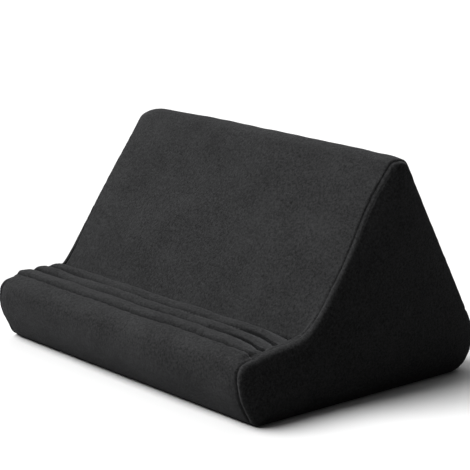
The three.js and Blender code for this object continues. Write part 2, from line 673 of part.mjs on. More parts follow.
// Pull: a flat tab whose eye bar runs through the bail
function pullTab() {
  const eyeHalf = BAIL_WIDE / 2 + 2 * CLEAR;
  const eyeEnd = bailHalf + BAIL_THICK;
  const half = PULL_WIDE / 2;
  const neck = eyeHalf + PULL_THICK;
  const shape = new THREE.Shape();
  shape.moveTo(barRadius, -neck);
  shape.lineTo(barRadius, neck);
  shape.lineTo(-eyeEnd, neck);
  shape.quadraticCurveTo(-eyeEnd - 2, neck, -eyeEnd - 3, half);
  shape.lineTo(-PULL_LENGTH + half, half);
  shape.absarc(-PULL_LENGTH + half, 0, half, Math.PI / 2, (3 * Math.PI) / 2, false);
  shape.lineTo(-eyeEnd - 3, -half);
  shape.quadraticCurveTo(-eyeEnd - 2, -neck, -eyeEnd, -neck);
  shape.closePath();
  const eye = new THREE.Path();
  eye.moveTo(-barRadius, -eyeHalf);
  eye.lineTo(-eyeEnd, -eyeHalf);
  eye.lineTo(-eyeEnd, eyeHalf);
  eye.lineTo(-barRadius, eyeHalf);
  eye.closePath();
  const grip = new THREE.Path();
  grip.absarc(-PULL_LENGTH + half, 0, half * 0.42, 0, Math.PI * 2, true);
  shape.holes.push(eye, grip);
  const tab = new THREE.ExtrudeGeometry(shape, { depth: PULL_THICK, bevelEnabled: false, curveSegments: 7 });
  return tab.translate(0, 0, -PULL_THICK / 2);
}

const pull = addPiece(zip, 'zip_pull', pullTab(), enamel());
pull.position.set(sliderX, 0, pivotZ);

// The origin goes under the middle of the finished part
const reach = new THREE.Box3().setFromObject(stand);
const middle = reach.getCenter(new THREE.Vector3());
stand.position.set(-middle.x, -middle.y, -reach.min.z);
stand.updateMatrixWorld(true);

export default stand;
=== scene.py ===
"""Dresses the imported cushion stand: sewn cover panels, stitching, zip finishes, studio and camera."""

from __future__ import annotations

import logging
import math
from dataclasses import dataclass, field
from enum import Enum
from typing import Any, Callable, Iterable, Sequence

import bpy
import numpy as np
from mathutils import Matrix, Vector


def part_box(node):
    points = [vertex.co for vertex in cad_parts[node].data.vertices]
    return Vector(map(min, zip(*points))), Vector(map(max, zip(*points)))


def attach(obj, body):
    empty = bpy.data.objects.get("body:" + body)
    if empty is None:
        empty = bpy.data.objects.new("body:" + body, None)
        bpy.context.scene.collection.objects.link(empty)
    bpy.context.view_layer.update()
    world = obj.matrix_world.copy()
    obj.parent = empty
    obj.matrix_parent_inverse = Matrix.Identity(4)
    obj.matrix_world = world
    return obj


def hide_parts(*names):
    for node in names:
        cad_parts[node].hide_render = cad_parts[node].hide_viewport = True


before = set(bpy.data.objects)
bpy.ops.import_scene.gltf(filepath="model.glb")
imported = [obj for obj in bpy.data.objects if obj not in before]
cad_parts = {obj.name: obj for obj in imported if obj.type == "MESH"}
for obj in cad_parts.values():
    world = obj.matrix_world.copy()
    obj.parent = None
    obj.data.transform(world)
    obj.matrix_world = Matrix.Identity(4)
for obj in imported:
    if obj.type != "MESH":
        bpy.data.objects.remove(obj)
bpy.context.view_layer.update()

LOG = logging.getLogger("cushion")
MM = 0.001
BODY = "cushion"
ALMOST = 0.9999
TINY = 1e-6
USUAL = 95
Array = np.ndarray
Triple = tuple[float, float, float]
Colour = Triple
Material = bpy.types.Material
Piece = bpy.types.Object


class Stretch(Enum):
    """Stretches of the side profile, in the order in which the cover runs round the foam."""

    FRONT = "front_panel"
    LEDGE = "ledge_panel"
    REST = "backrest_panel"
    UPPER = "back_panel_upper"
    ZIP = "zip"
    LOWER = "back_panel_lower"
    BASE = "base_panel"


STRETCHES = list(Stretch)


class Side(Enum):
    """The two ends of the cushion, with the sign of their x."""

    LEFT = -1
    RIGHT = 1


def smooth_step(low: float | Array, high: float | Array, value: Array) -> Array:
    """Eases from 0 at low to 1 at high."""
    share = np.clip((value - low) / (high - low), 0.0, 1.0)
    return share * share * (3.0 - 2.0 * share)


def bell(away: Array, reach: float | Array) -> Array:
    """Falls from 1 at no distance to almost nothing at twice the reach."""
    return np.exp(-((away / reach) ** 2))


@dataclass(frozen=True)
class Wander:
    """A smooth, repeatable wander along one direction: a few waves between two lengths in millimetres."""

    seed: int
    shortest: float
    longest: float
    height: float
    waves: int = 7

    def along(self, run: Array) -> Array:
        """Gives the wander at each place, in millimetres."""
        rng = np.random.default_rng(self.seed)
        lengths = np.exp(rng.uniform(math.log(self.shortest), math.log(self.longest), self.waves))
        phases = rng.uniform(0.0, 2.0 * math.pi, self.waves)
        total = sum(np.sin(2.0 * math.pi * run / size + phase) for size, phase in zip(lengths, phases))
        return self.height * (total / math.sqrt(self.waves))


@dataclass(frozen=True)
class Drift:
    """A slow unevenness over a surface, as soft foam has under its cover, in millimetres."""

    seed: int
    size: float
    height: float
    waves: int = 9
    finest: float = 1.5
    coarsest: float = 0.6

    def over(self, x: Array, y: Array, z: Array) -> Array:
        """Gives the unevenness at points."""
        rng = np.random.default_rng(self.seed)
        total = np.zeros(np.broadcast(x, y, z).shape)
        for _ in range(self.waves):
            heading = rng.normal(size=3)
            heading *= rng.uniform(self.coarsest, self.finest) / (self.size * np.linalg.norm(heading))
            phase = rng.uniform(0.0, 2.0 * math.pi)
            run = heading[0] * x + heading[1] * y + heading[2] * z
            total = total + np.sin(2.0 * math.pi * run + phase)
        return self.height * (total / math.sqrt(self.waves))


SEAM_STRAY = {side: Wander(11 + side.value, 24.0, 90.0, 0.2) for side in Side}
SEAM_PUCKER = {side: Wander(23 + side.value, 6.0, 15.0, 0.12, 9) for side in Side}
RIB_UNEVEN = Wander(3, 34.0, 120.0, 0.05)
RIB_TUCK = Wander(5, 7.0, 17.0, 0.22)
FACE_DRIFTS = (Drift(7, 74.0, 0.42), Drift(8, 21.0, 0.13))
SIDE_DRIFT = Drift(9, 66.0, 0.5)


# Shader maths


def operator(operation: str, swapped: bool = False) -> Callable[[Value, Any], Value]:
    """Makes an operator of Value, or its reflected form, from a Math node."""

    def apply(value: Value, other: Any) -> Value:
        """Adds the node and returns its result."""
        return value.math(operation, other, value) if swapped else value.math(operation, value, other)

    return apply


class Value:
    """Wraps a node's socket so that sums on values read as plain expressions."""

    __add__, __radd__ = operator("ADD"), operator("ADD", True)
    __sub__, __rsub__ = operator("SUBTRACT"), operator("SUBTRACT", True)
    __mul__, __rmul__ = operator("MULTIPLY"), operator("MULTIPLY", True)

    def __init__(self, tree: bpy.types.NodeTree, socket: bpy.types.NodeSocket) -> None:
        """Keeps the tree and the socket that is wrapped."""
        self.tree = tree
        self.socket = socket

    def math(self, operation: str, first: Any, second: Any) -> Value:
        """Adds one Math node and returns its result."""
        node = self.tree.nodes.new("ShaderNodeMath")
        node.operation = operation
        for slot, given in zip(node.inputs, (first, second)):
            if isinstance(given, Value):
                self.tree.links.new(given.socket, slot)
            else:
                slot.default_value = float(given)
        return Value(self.tree, node.outputs[0])

    def sine(self) -> Value:
        """Sine of the value."""
        return self.math("SINE", self, 0.0)

    def held(self) -> Value:
        """Holds the value between 0 and 1."""
        return self.math("MINIMUM", self.math("MAXIMUM", self, 0.0), 1.0)


class Nodes:
    """A node tree, with one method that adds any node."""

    def __init__(self, tree: bpy.types.NodeTree) -> None:
        """Empties the tree."""
        self.tree = tree
        tree.nodes.clear()

    def add(
        self, kind: str, settings: dict[str, Any] | None = None, out: str | int = 0, **given: Any
    ) -> Value:
        """Adds a node.

        Args:
            kind: The node's type.
            settings: The node's own settings, set before its sockets.
            out: Name or index of the output that is returned.
            **given: Values or links of its sockets, with _ for a space in a name.

        Returns:
            The wanted output.
        """
        node = self.tree.nodes.new(kind)
        for name, value in (settings or {}).items():
            setattr(node, name, value)
        for name, value in given.items():
            label = name.replace("_", " ").lower()
            slot = next(s for s in node.inputs if s.enabled and s.name.lower() == label)
            if isinstance(value, Value):
                self.tree.links.new(value.socket, slot)
            else:
                slot.default_value = value
        return Value(self.tree, node.outputs[out])

    def by_view(self, plain: Value, seen: Value) -> Value:
        """Shows the camera one shader where the light meets a plain one."""
        mix = self.add("ShaderNodeMixShader", Fac=self.add("ShaderNodeLightPath", out="Is Camera Ray"))
        _, *slots = mix.socket.node.inputs
        for slot, shade in zip(slots, (plain, seen)):
            self.tree.links.new(shade.socket, slot)
        return mix

    def end(self, kind: str, result: Value) -> None:
        """Links a result to the tree's output."""
        self.tree.links.new(result.socket, self.tree.nodes.new(kind).inputs[0])


class Shader(Nodes):
    """A material's node tree."""

    def __init__(self, name: str) -> None:
        """Starts an empty material of this name."""
        self.material = bpy.data.materials.new(name)
        self.material.use_nodes = True
        super().__init__(self.material.node_tree)

    def place(self) -> Value:
        """Object coordinates of the piece, in metres."""
        return self.add("ShaderNodeTexCoord", out="Object")

    def noise(self, where: Value, scale: float, detail: float = 3.0, rough: float = 0.55) -> Value:
        """Noise of about 0 to 1, with so many lumps to the metre."""
        given = {"Vector": where, "Scale": scale, "Detail": detail, "Roughness": rough}
        return self.add("ShaderNodeTexNoise", {"noise_dimensions": "3D"}, "Fac", **given)

    def stretched(self, where: Value, scale: Sequence[float], turn: Sequence[float] = (0, 0, 0)) -> Value:
        """Turns and stretches coordinates."""
        return self.add("ShaderNodeMapping", Vector=where, Scale=tuple(scale), Rotation=tuple(turn))

    def split(self, where: Value) -> list[Value]:
        """Parts of a vector."""
        node = self.add("ShaderNodeSeparateXYZ", Vector=where).socket.node
        return [Value(self.tree, slot) for slot in node.outputs]

    def blend(self, share: Value, first: Colour, second: Colour) -> Value:
        """Mixes two colours by a value."""
        colours = {"A": (*first, 1.0), "B": (*second, 1.0)}
        return self.add("ShaderNodeMix", {"data_type": "RGBA"}, 2, Factor=share, **colours)

    def bump(self, height: Value, strength: float, distance: float) -> Value:
        """A Bump node's normal from a height."""
        return self.add("ShaderNodeBump", Height=height, Strength=strength, Distance=distance)

    def surface(self, **given: Any) -> Material:
        """Ends the tree in a Principled shader with these sockets."""
        return self.finished(self.add("ShaderNodeBsdfPrincipled", **given))

    def finished(self, shade: Value) -> Material:
        """Ends the tree in a shader."""
        self.end("ShaderNodeOutputMaterial", shade)
        return self.material


# Finishes


Look = tuple[Value, dict[str, Any]]


@dataclass(frozen=True)
class Finish:
    """A material of two colours, mixed by a tone that each kind of finish works out."""

    name: str
    deep: Colour
    pale: Colour

    def look(self, shader: Shader, where: Value) -> Look:
        """Works out the tone and the surface's other sockets."""
        raise NotImplementedError

    def material(self) -> Material:
        """Builds the material."""
        shader = Shader(self.name)
        tone, sockets = self.look(shader, shader.place())
        return shader.surface(Base_Color=shader.blend(tone.held(), self.deep, self.pale), **sockets)


@dataclass(frozen=True)
class SuedeFinish(Finish):
    """Brushed micro-suede with a short nap, fine mottling and cloudy brush marks."""

    name: str = "charcoal_suede"
    deep: Colour = (0.0030, 0.0030, 0.0032)
    pale: Colour = (0.0412, 0.0416, 0.0427)
    grain: float = 620.0
    fibre: float = 2300.0
    clouds: float = 26.0
    brush: Triple = (34.0, 120.0, 90.0)

    def look(self, shader: Shader, where: Value) -> Look:
        """Grain and fibre that stand up a little, with clouds and brush marks."""
        grain = shader.noise(where, self.grain, 4.0, 0.62)
        fibre = shader.noise(where, self.fibre, 2.0, 0.5)
        cloud = shader.noise(where, self.clouds, 3.0, 0.6)
        brush = shader.noise(shader.stretched(where, self.brush), 1.0, 3.0, 0.6)
        tone = 0.5 + 2.0 * (grain - 0.5) + 1.5 * (fibre - 0.5) + 0.5 * (cloud - 0.5) + 0.3 * (brush - 0.5)
        return tone, {
            "Roughness": (0.84 + 0.16 * grain).held(),
            "Normal": shader.bump(0.62 * grain + 0.38 * fibre, 0.8, 0.0008),
            "Sheen_Weight": 0.14,
            "Sheen_Roughness": 0.42,
            "Sheen_Tint": (0.78, 0.79, 0.82, 1.0),
            "Specular_IOR_Level": 0.18,
        }


@dataclass(frozen=True)
class FoamFinish(Finish):
    """Open-cell foam with small pores, or the looser fibre of a filling roll."""

    pores: float

    def look(self, shader: Shader, where: Value) -> Look:
        """Pores, with slower lumps between them."""
        given = {"Vector": where, "Scale": self.pores}
        cells = shader.add("ShaderNodeTexVoronoi", {"feature": "F1"}, "Distance", **given)
        lumps = shader.noise(where, self.pores * 0.08, 3.0)
        return 0.25 + 0.8 * cells + 0.5 * (lumps - 0.5), {
            "Roughness": (0.9 + 0.1 * lumps).held(),
            "Normal": shader.bump(cells, 0.5, 0.0008),
            "Specular_IOR_Level": 0.1,
        }


@dataclass(frozen=True)
class WovenFinish(Finish):
    """A close woven tape or lining, with its threads along and across the piece."""

    threads: float
    slope: float = 0.0

    def look(self, shader: Shader, where: Value) -> Look:
        """Ribs where warp and weft cross, under a twill and some fuzz."""
        where = shader.stretched(where, (1.0, 1.0, 1.0), (self.slope, 0.0, 0.0))
        x, y, _ = shader.split(where)
        turn = 2.0 * math.pi * self.threads
        ribs = 0.5 + 0.5 * ((x * turn).sine() * (y * turn).sine())
        twill = 0.5 + 0.5 * ((x + y) * (turn * 0.5)).sine()
        fuzz = shader.noise(where, 1800.0, 2.0)
        return 0.45 * ribs + 0.3 * twill + 0.5 * (fuzz - 0.25), {
            "Roughness": (0.72 + 0.22 * fuzz).held(),
            "Normal": shader.bump(0.6 * ribs + 0.4 * twill, 0.5, 0.0003),
            "Sheen_Weight": 0.1,
            "Specular_IOR_Level": 0.25,
        }


@dataclass(frozen=True)
class NylonFinish(Finish):
    """Moulded nylon of the zip's teeth: satin, with faint flow marks."""

    name: str = "zip_nylon"
    deep: Colour = (0.0090, 0.0092, 0.0100)
    pale: Colour = (0.0200, 0.0204, 0.0215)

    def look(self, shader: Shader, where: Value) -> Look:
        """Flow marks along the zip, and grit."""
        flow = shader.noise(shader.stretched(where, (420.0, 900.0, 900.0)), 1.0, 3.0)
        grit = shader.noise(where, 3200.0, 2.0)
        return 0.5 + 1.2 * (flow - 0.5), {
            "Roughness": (0.34 + 0.26 * grit).held(),
            "Normal": shader.bump(grit, 0.12, 0.0002),
            "Specular_IOR_Level": 0.45,
        }


@dataclass(frozen=True)
class EnamelFinish(Finish):
    """Dark enamelled zinc of the slider, the pull and the stops, rubbed a little thin in places."""

    name: str = "zip_enamel"
    deep: Colour = (0.0160, 0.0165, 0.0180)
    pale: Colour = (0.1050, 0.1060, 0.1090)

    def look(self, shader: Shader, where: Value) -> Look:
        """Patches and scratches, where the metal shows."""
        patches = shader.noise(where, 340.0, 4.0, 0.6)
        scratches = shader.noise(shader.stretched(where, (220.0, 2600.0, 2600.0)), 1.0, 2.0)
        worn = ((patches - 0.56) * 6.0).held() * 0.6 + 0.3 * ((scratches - 0.6) * 5.0).held()
        return worn, {
            "Metallic": (0.35 + 0.5 * worn).held(),
            "Roughness": (0.26 + 0.2 * patches + 0.1 * scratches).held(),
            "Normal": shader.bump(patches, 0.06, 0.0002),
        }


@dataclass(frozen=True)
class ThreadFinish(Finish):
    """Spun polyester sewing thread with its twist."""

    name: str = "sewing_thread"
    deep: Colour = (0.0110, 0.0112, 0.0120)
    pale: Colour = (0.0420, 0.0425, 0.0440)

    def look(self, shader: Shader, where: Value) -> Look:
        """The twist, with fuzz."""
        x, y, z = shader.split(where)
        twist = 0.5 + 0.5 * ((x + y + z) * (2.0 * math.pi * 2600.0)).sine()
        fuzz = shader.noise(where, 5200.0, 2.0)
        return 0.6 * twist + 0.5 * fuzz, {
            "Roughness": (0.55 + 0.3 * fuzz).held(),
            "Normal": shader.bump(twist, 0.35, 0.0001),
            "Sheen_Weight": 0.15,
        }


# Profile of the cushion


@dataclass(frozen=True)
class Corner:
    """A corner of the side profile, rounded by its radius, that may begin a stretch."""

    y: float
    z: float
    radius: float = 0.0
    starts: Stretch | None = None


@dataclass
class Loop:
    """Points round the profile with their outward normals, in millimetres.

    Attributes:
        y: Places from front to back.
        z: Heights.
        ny: Normals, front to back.
        nz: Normals, upwards.
        stretch: Index of each point's stretch.
        share: Share of the way along its stretch.
        run: Distance along its stretch.
        whole: Length of its stretch.
    """

    y: Array
    z: Array
    ny: Array
    nz: Array
    stretch: Array
    share: Array
    run: Array
    whole: Array

    def on(self, stretch: Stretch) -> Array:
        """True at the points of one stretch."""
        return self.stretch == STRETCHES.index(stretch)

    def span(self, stretch: Stretch) -> tuple[int, int]:
        """Index of the first point of a stretch, and how many points it has."""
        own = self.on(stretch)
        return int(np.argmax(own)), int(own.sum())

    @property
    def behind(self) -> Array:
        """Distance to the end of each point's stretch."""
        return self.whole - self.run

    @property
    def around(self) -> Array:
        """Distance round the whole profile."""
        steps = np.hypot(np.diff(self.y, prepend=self.y[0]), np.diff(self.z, prepend=self.z[0]))
        return np.cumsum(steps)


@dataclass(frozen=True)
class Profile:
    """Side profile of the cushion, with the same sizes as its solids, in millimetres."""

    width: float = 285.0
    height: float = 158.0
    ledge_height: float = 45.0
    rib_count: int = 3
    rib_pitch: float = 14.2
    rest_angle: float = math.radians(55.6)
    back_angle: float = math.radians(61.4)
    apex_radius: float = 11.0
    back_radius: float = 24.0
    foot_radius: float = 4.0
    lip_radius: float = 9.0
    lip_run: float = 12.5
    belly_reach: float = 3.2
    belly_radius: float = 34.0
    belly_share: float = 0.58
    front_tuck: float = 11.0
    front_radius: float = 9.0
    base_tuck: float = 14.0
    ridge_tuck: float = 12.0
    zip_window: float = 13.0
    zip_rise: float = 50.0
    clear: float = 0.3
    points: tuple[int, ...] = (54, 60, 84, 30, 6, 26, 34)
    step: float = 0.2

    @property
    def ledge_start(self) -> float:
        """Where the lip ends and the sewn channels begin."""
        return self.lip_run - self.front_tuck

    @property
    def ledge_run(self) -> float:
        """Depth of the ledge."""
        return self.rib_count * self.rib_pitch

    def corners(self) -> list[Corner]:
        """Corners in order: floor edge, lip, ledge, apex, back and base."""
        foot = self.ledge_start + self.ledge_run
        half = (math.pi - self.rest_angle - self.back_angle) / 2
        tilt = (self.rest_angle - self.back_angle) / 2
        apex_z = self.height + self.apex_radius * (math.cos(tilt) / math.sin(half) - 1)
        apex_y = foot + (apex_z - self.ledge_height) / math.tan(self.rest_angle)
        back_y = apex_y + apex_z / math.tan(self.back_angle)
        zip_y = back_y - self.zip_rise / math.tan(self.back_angle)
        along = (-math.cos(self.back_angle), math.sin(self.back_angle))
        ridge = self.apex_radius / math.tan(half) + self.ridge_tuck
        lower = self.back_radius / math.tan(self.back_angle / 2)
        window = self.zip_window / 2
        belly = (-self.front_tuck - self.belly_reach, self.ledge_height * self.belly_share)
        return [
            Corner(self.base_tuck, 0.0, starts=Stretch.FRONT),
            Corner(0.0, 0.0, self.front_radius),
            Corner(*belly, self.belly_radius),
            Corner(-self.front_tuck, self.ledge_height, self.lip_radius),
            Corner(self.ledge_start, self.ledge_height, starts=Stretch.LEDGE),
            Corner(foot, self.ledge_height, self.foot_radius, Stretch.REST),
            Corner(apex_y, apex_z, self.apex_radius),
            Corner(apex_y - along[0] * ridge, apex_z - along[1] * ridge, starts=Stretch.UPPER),
            Corner(zip_y + along[0] * window, self.zip_rise + along[1] * window, starts=Stretch.ZIP),
            Corner(zip_y - along[0] * window, self.zip_rise - along[1] * window, starts=Stretch.LOWER),
            Corner(back_y, 0.0, self.back_radius),
            Corner(back_y - lower - self.base_tuck, 0.0, starts=Stretch.BASE),
        ]

    def _walk(self) -> list[tuple[float, float, float, int]]:
        """Walks the rounded profile by small steps: place, height, heading and stretch of each point."""
        corners = self.corners()
        count = len(corners)
        turns = []
        for i, corner in enumerate(corners):
            before, after = corners[i - 1], corners[(i + 1) % count]
            start = math.atan2(corner.z - before.z, corner.y - before.y)
            end = math.atan2(after.z - corner.z, after.y - corner.y)
            turn = math.atan2(math.sin(end - start), math.cos(end - start))
            turns.append((start, end, turn, corner.radius * math.tan(abs(turn) / 2)))
        walked = []
        stretch = 0
        for i, corner in enumerate(corners):
            start, end, turn, cut = turns[i]
            stretch = stretch if corner.starts is None else STRETCHES.index(corner.starts)
            if corner.radius > 0:
                bend = math.copysign(1.0, turn)
                centre_y = corner.y - math.cos(start) * cut - bend * math.sin(start) * corner.radius
                centre_z = corner.z - math.sin(start) * cut + bend * math.cos(start) * corner.radius
                parts = max(2, math.ceil(abs(turn) * corner.radius / self.step))
                for k in range(parts):
                    heading = start + turn * k / parts
                    y = centre_y + bend * math.sin(heading) * corner.radius
                    z = centre_z - bend * math.cos(heading) * corner.radius
                    walked.append((y, z, heading, stretch))
            after = corners[(i + 1) % count]
            from_y = corner.y + math.cos(end) * cut
            from_z = corner.z + math.sin(end) * cut
            run = math.hypot(after.y - from_y, after.z - from_z) - turns[(i + 1) % count][3]
            parts = max(1, math.ceil(run / self.step))
            for k in range(parts):
                away = run * k / parts
                walked.append((from_y + math.cos(end) * away, from_z + math.sin(end) * away, end, stretch))
        return walked

    def loop(self) -> Loop:
        """Points round the profile, evenly spaced along each stretch."""
        walked = np.array(self._walk())
        parts = []
        for index, count in enumerate(self.points):
            own = np.flatnonzero(walked[:, 3] == index)
            y, z, heading, _ = walked[np.append(own, (own[-1] + 1) % len(walked))].T
            heading = np.unwrap(heading)
            if STRETCHES[index] is Stretch.BASE:
                heading[-1] = heading[-2]
            run = np.concatenate([[0.0], np.cumsum(np.hypot(np.diff(y), np.diff(z)))])
            at = np.linspace(0.0, run[-1], count, endpoint=False)
            y, z, heading = (np.interp(at, run, values) for values in (y, z, heading))
            kind, whole = np.full(count, index), np.full(count, run[-1])
            parts.append((y, z, -np.sin(heading), np.cos(heading), kind, at / run[-1], at, whole))
        return Loop(*(np.concatenate(values) for values in zip(*parts)))


# Meshes


def placed(name: str, data: Any) -> Piece:
    """Puts an object with this data into the scene."""
    piece = bpy.data.objects.new(name, data)
    bpy.context.scene.collection.objects.link(piece)
    return piece


def mesh_object(name: str, points: Array, faces: Iterable[Sequence[int]]) -> Piece:
    """Makes a smooth-shaded object at the origin from points in metres and faces that point outwards."""
    mesh = bpy.data.meshes.new(name)
    mesh.from_pydata(points.tolist(), [], [list(face) for face in faces])
    mesh.validate()
    mesh.polygons.foreach_set("use_smooth", [True] * len(mesh.polygons))
    mesh.update()
    return placed(name, mesh)


def cover_with(piece: Piece, material: Material) -> None:
    """Gives a piece this one material."""
    piece.data.materials.clear()
    piece.data.materials.append(material)


def settle(piece: Piece, material: Material, slot: str, fill: float, *nodes: str) -> None:
    """Gives a padded piece its material, and sets it on the cushion in place of its solids."""
    cover_with(piece, material)
    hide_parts(*nodes)
    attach(piece, BODY)
    LOG.info("%s: %d faces", piece.name, len(piece.data.polygons))


TURNED = [0, 3, 2, 1]


def quads(grid: Array) -> Array:
    """Faces between the points of a grid of indices."""
    corners = (grid[:-1, :-1], grid[:-1, 1:], grid[1:, 1:], grid[1:, :-1])
    return np.stack(corners, axis=-1).reshape(-1, 4)


def tube_faces(rings: int, count: int) -> list[tuple[int, ...]]:
    """Faces of a closed tube of rings along +x, with an end point before the rings and one after."""
    faces: list[tuple[int, ...]] = []
    last = rings * count + 1
    top = 1 + (rings - 1) * count
    for k in range(count):
        after = (k + 1) % count
        faces.append((0, 1 + k, 1 + after))
        faces.append((last, top + after, top + k))
        for low in range(1, top, count):
            high = low + count
            faces.append((low + k, high + k, high + after, low + after))
    return faces


def grid_normals(rows: Array) -> Array:
    """Outward unit normals of a surface that closes round the profile."""
    around = np.roll(rows, -1, axis=1) - np.roll(rows, 1, axis=1)
    normals = np.cross(np.gradient(rows, axis=0), around)
    return normals / np.maximum(np.linalg.norm(normals, axis=-1, keepdims=True), TINY)


def capped(rings: Array, *ends: Array) -> Array:
    """Points of a tube's rings between two end points, or between the middles of its end rings."""
    first, last = ends or (rings[0].mean(axis=0), rings[-1].mean(axis=0))
    return np.vstack([first, rings.reshape(-1, 3), last])


# Cover


CLOTH_SETTINGS = {
    "quality": 5,
    "mass": 0.3,
    "tension_stiffness": 18.0,
    "compression_stiffness": 18.0,
    "bending_stiffness": 1.2,
    "use_pressure": True,
    "uniform_pressure_force": 4.0,
}


@dataclass
class Press:
    """A short cloth simulation in which the stuffing presses the cover out between its seams.

    Attributes:
        loop: Points round the profile.
        seams: Rows of the two side seams.
        step: Every so many rows and points are simulated.
        frames: Length of the simulation.
        cap: Longest move that counts, in millimetres.
        swell: Move that nearly all places stay under in the end, in millimetres.
        held_rows: Rows to each side of a side seam that are held.
        held_height: Height over the floor up to which the cover is held.
        held_run: Distance from the other seams up to which it is held.
    """

    loop: Loop
    seams: tuple[int, int]
    step: int = 3
    frames: int = 20
    cap: float = 5.0
    swell: float = 1.1
    held_rows: int = 2
    held_height: float = 2.0
    held_run: float = 4.0

    def swollen(self, rows: Array, hubs: Sequence[Array]) -> Array:
        """Lets the stuffing press the cover out between its seams, by a cloth simulation."""
        height, width = rows.shape[:2]
        picked_rows = np.unique(np.append(np.arange(0, height, self.step), height - 1))
        picked = np.arange(0, width, self.step)
        moved = self.pressed(rows[picked_rows][:, picked], hubs, self.held(picked_rows, picked))
        closed = np.concatenate([moved, moved[:, :1]], axis=1)
        stops = np.append(picked, width)
        full = np.empty_like(rows)
        for axis in range(3):
            filled = np.array([np.interp(np.arange(width), stops, row) for row in closed[:, :, axis]])
            columns = [np.interp(np.arange(height), picked_rows, column) for column in filled.T]
            full[:, :, axis] = np.transpose(columns)
        return rows + full

    def pressed(self, coarse: Array, hubs: Sequence[Array], held: Array) -> Array:
        """Runs the cloth on a thinned surface that is held by these weights, and gives its moves."""
        points = capped(coarse, *hubs)
        pad = mesh_object("cover_trial", points * MM, tube_faces(*coarse.shape[:2]))
        group = pad.vertex_groups.new(name="held")
        for index, weight in enumerate(held.reshape(-1), 1):
            group.add([index], float(weight), "REPLACE")
        cloth = pad.modifiers.new("stuffing", "CLOTH")
        for name, value in CLOTH_SETTINGS.items():
            setattr(cloth.settings, name, value)
        cloth.settings.vertex_group_mass = group.name
        cloth.settings.effector_weights.gravity = 0.0
        cloth.point_cache.frame_start = 1
        cloth.point_cache.frame_end = self.frames
        scene = bpy.context.scene
        for shown in range(1, self.frames + 1):
            scene.frame_set(shown)
        result = pad.evaluated_get(bpy.context.evaluated_depsgraph_get())
        after = np.empty(len(points) * 3, np.float32)
        result.to_mesh().vertices.foreach_get("co", after)
        result.to_mesh_clear()
        moved = after.reshape(-1, 3)[1:-1] / MM - coarse.reshape(-1, 3)
        scene.frame_set(1)
        bpy.data.objects.remove(pad)
        far = np.linalg.norm(moved, axis=1, keepdims=True)
        LOG.info("stuffing moved the cover by %.2f mm at most", float(far.max()))
        moved = moved * np.minimum(1.0, self.cap / np.maximum(far, TINY))
        usual = max(float(np.percentile(np.linalg.norm(moved, axis=1), USUAL)), TINY)
        return (moved * (self.swell / usual)).reshape(coarse.shape)

    def held(self, picked_rows: Array, picked: Array) -> Array:
        """Where the thinned surface is held: at the seams and the zip, in the channels, on the floor."""
        loop = self.loop
        first, last = self.seams
        by_row = np.minimum(np.abs(picked_rows - first), np.abs(picked_rows - last)) <= self.held_rows
        by_point = (np.minimum(loop.run, loop.behind) < self.held_run) | (loop.z < self.held_height)
        for stretch in (Stretch.LEDGE, Stretch.ZIP, Stretch.LOWER):
            by_point = by_point | loop.on(stretch)
        return (by_row[:, None] | by_point[picked]).astype(float)


@dataclass(frozen=True)
class RibEnd:
    """How the sewn channels end beside a side seam, in millimetres.

    Attributes:
        close_from: Distance from the rolled edge at which the creases have closed.
        close_to: Distance at which they are open.
        fall_to: Distance at which the crests have fallen.
        fall_from: Distance at which they begin to fall.
        lift: Share of the crests' height that is left at the end.
        low: Height of the band beside the seam, at the lip.
        high: Height of that band at the foot of the backrest.
        reach: How far the band runs up the backrest.
        soft: How far the foot of the backrest is softened beside the seam.
        fold: How far the creases are folded in under the channel behind them.
        slit: How much deeper the creases are near their end.
        slit_at: Distance at which they are deepest.
    """

    close_from: float
    close_to: float
    fall_to: float
    fall_from: float
    lift: float
    low: float
    high: float
    reach: float
    soft: float
    fold: float
    slit: float
    slit_at: float


LEFT_END = RibEnd(
    close_from=-2.0, close_to=3.0, fall_to=0.0, fall_from=9.0, lift=0.8, low=0.8,
    high=3.2, reach=4.0, soft=0.4, fold=2.8, slit=0.5, slit_at=8.0,
)
RIGHT_END = RibEnd(
    close_from=2.0, close_to=5.0, fall_to=7.0, fall_from=36.0, lift=0.45, low=0.8,
    high=7.0, reach=10.0, soft=1.0, fold=5.6, slit=2.4, slit_at=8.0,
)

SEAM_DEPTHS = {
    Stretch.FRONT: (0.5, 0.15),
    Stretch.LEDGE: (0.15, 0.0),
    Stretch.REST: (0.0, 0.9),
    Stretch.UPPER: (0.9, 1.3),
    Stretch.LOWER: (1.3, 0.5),
}


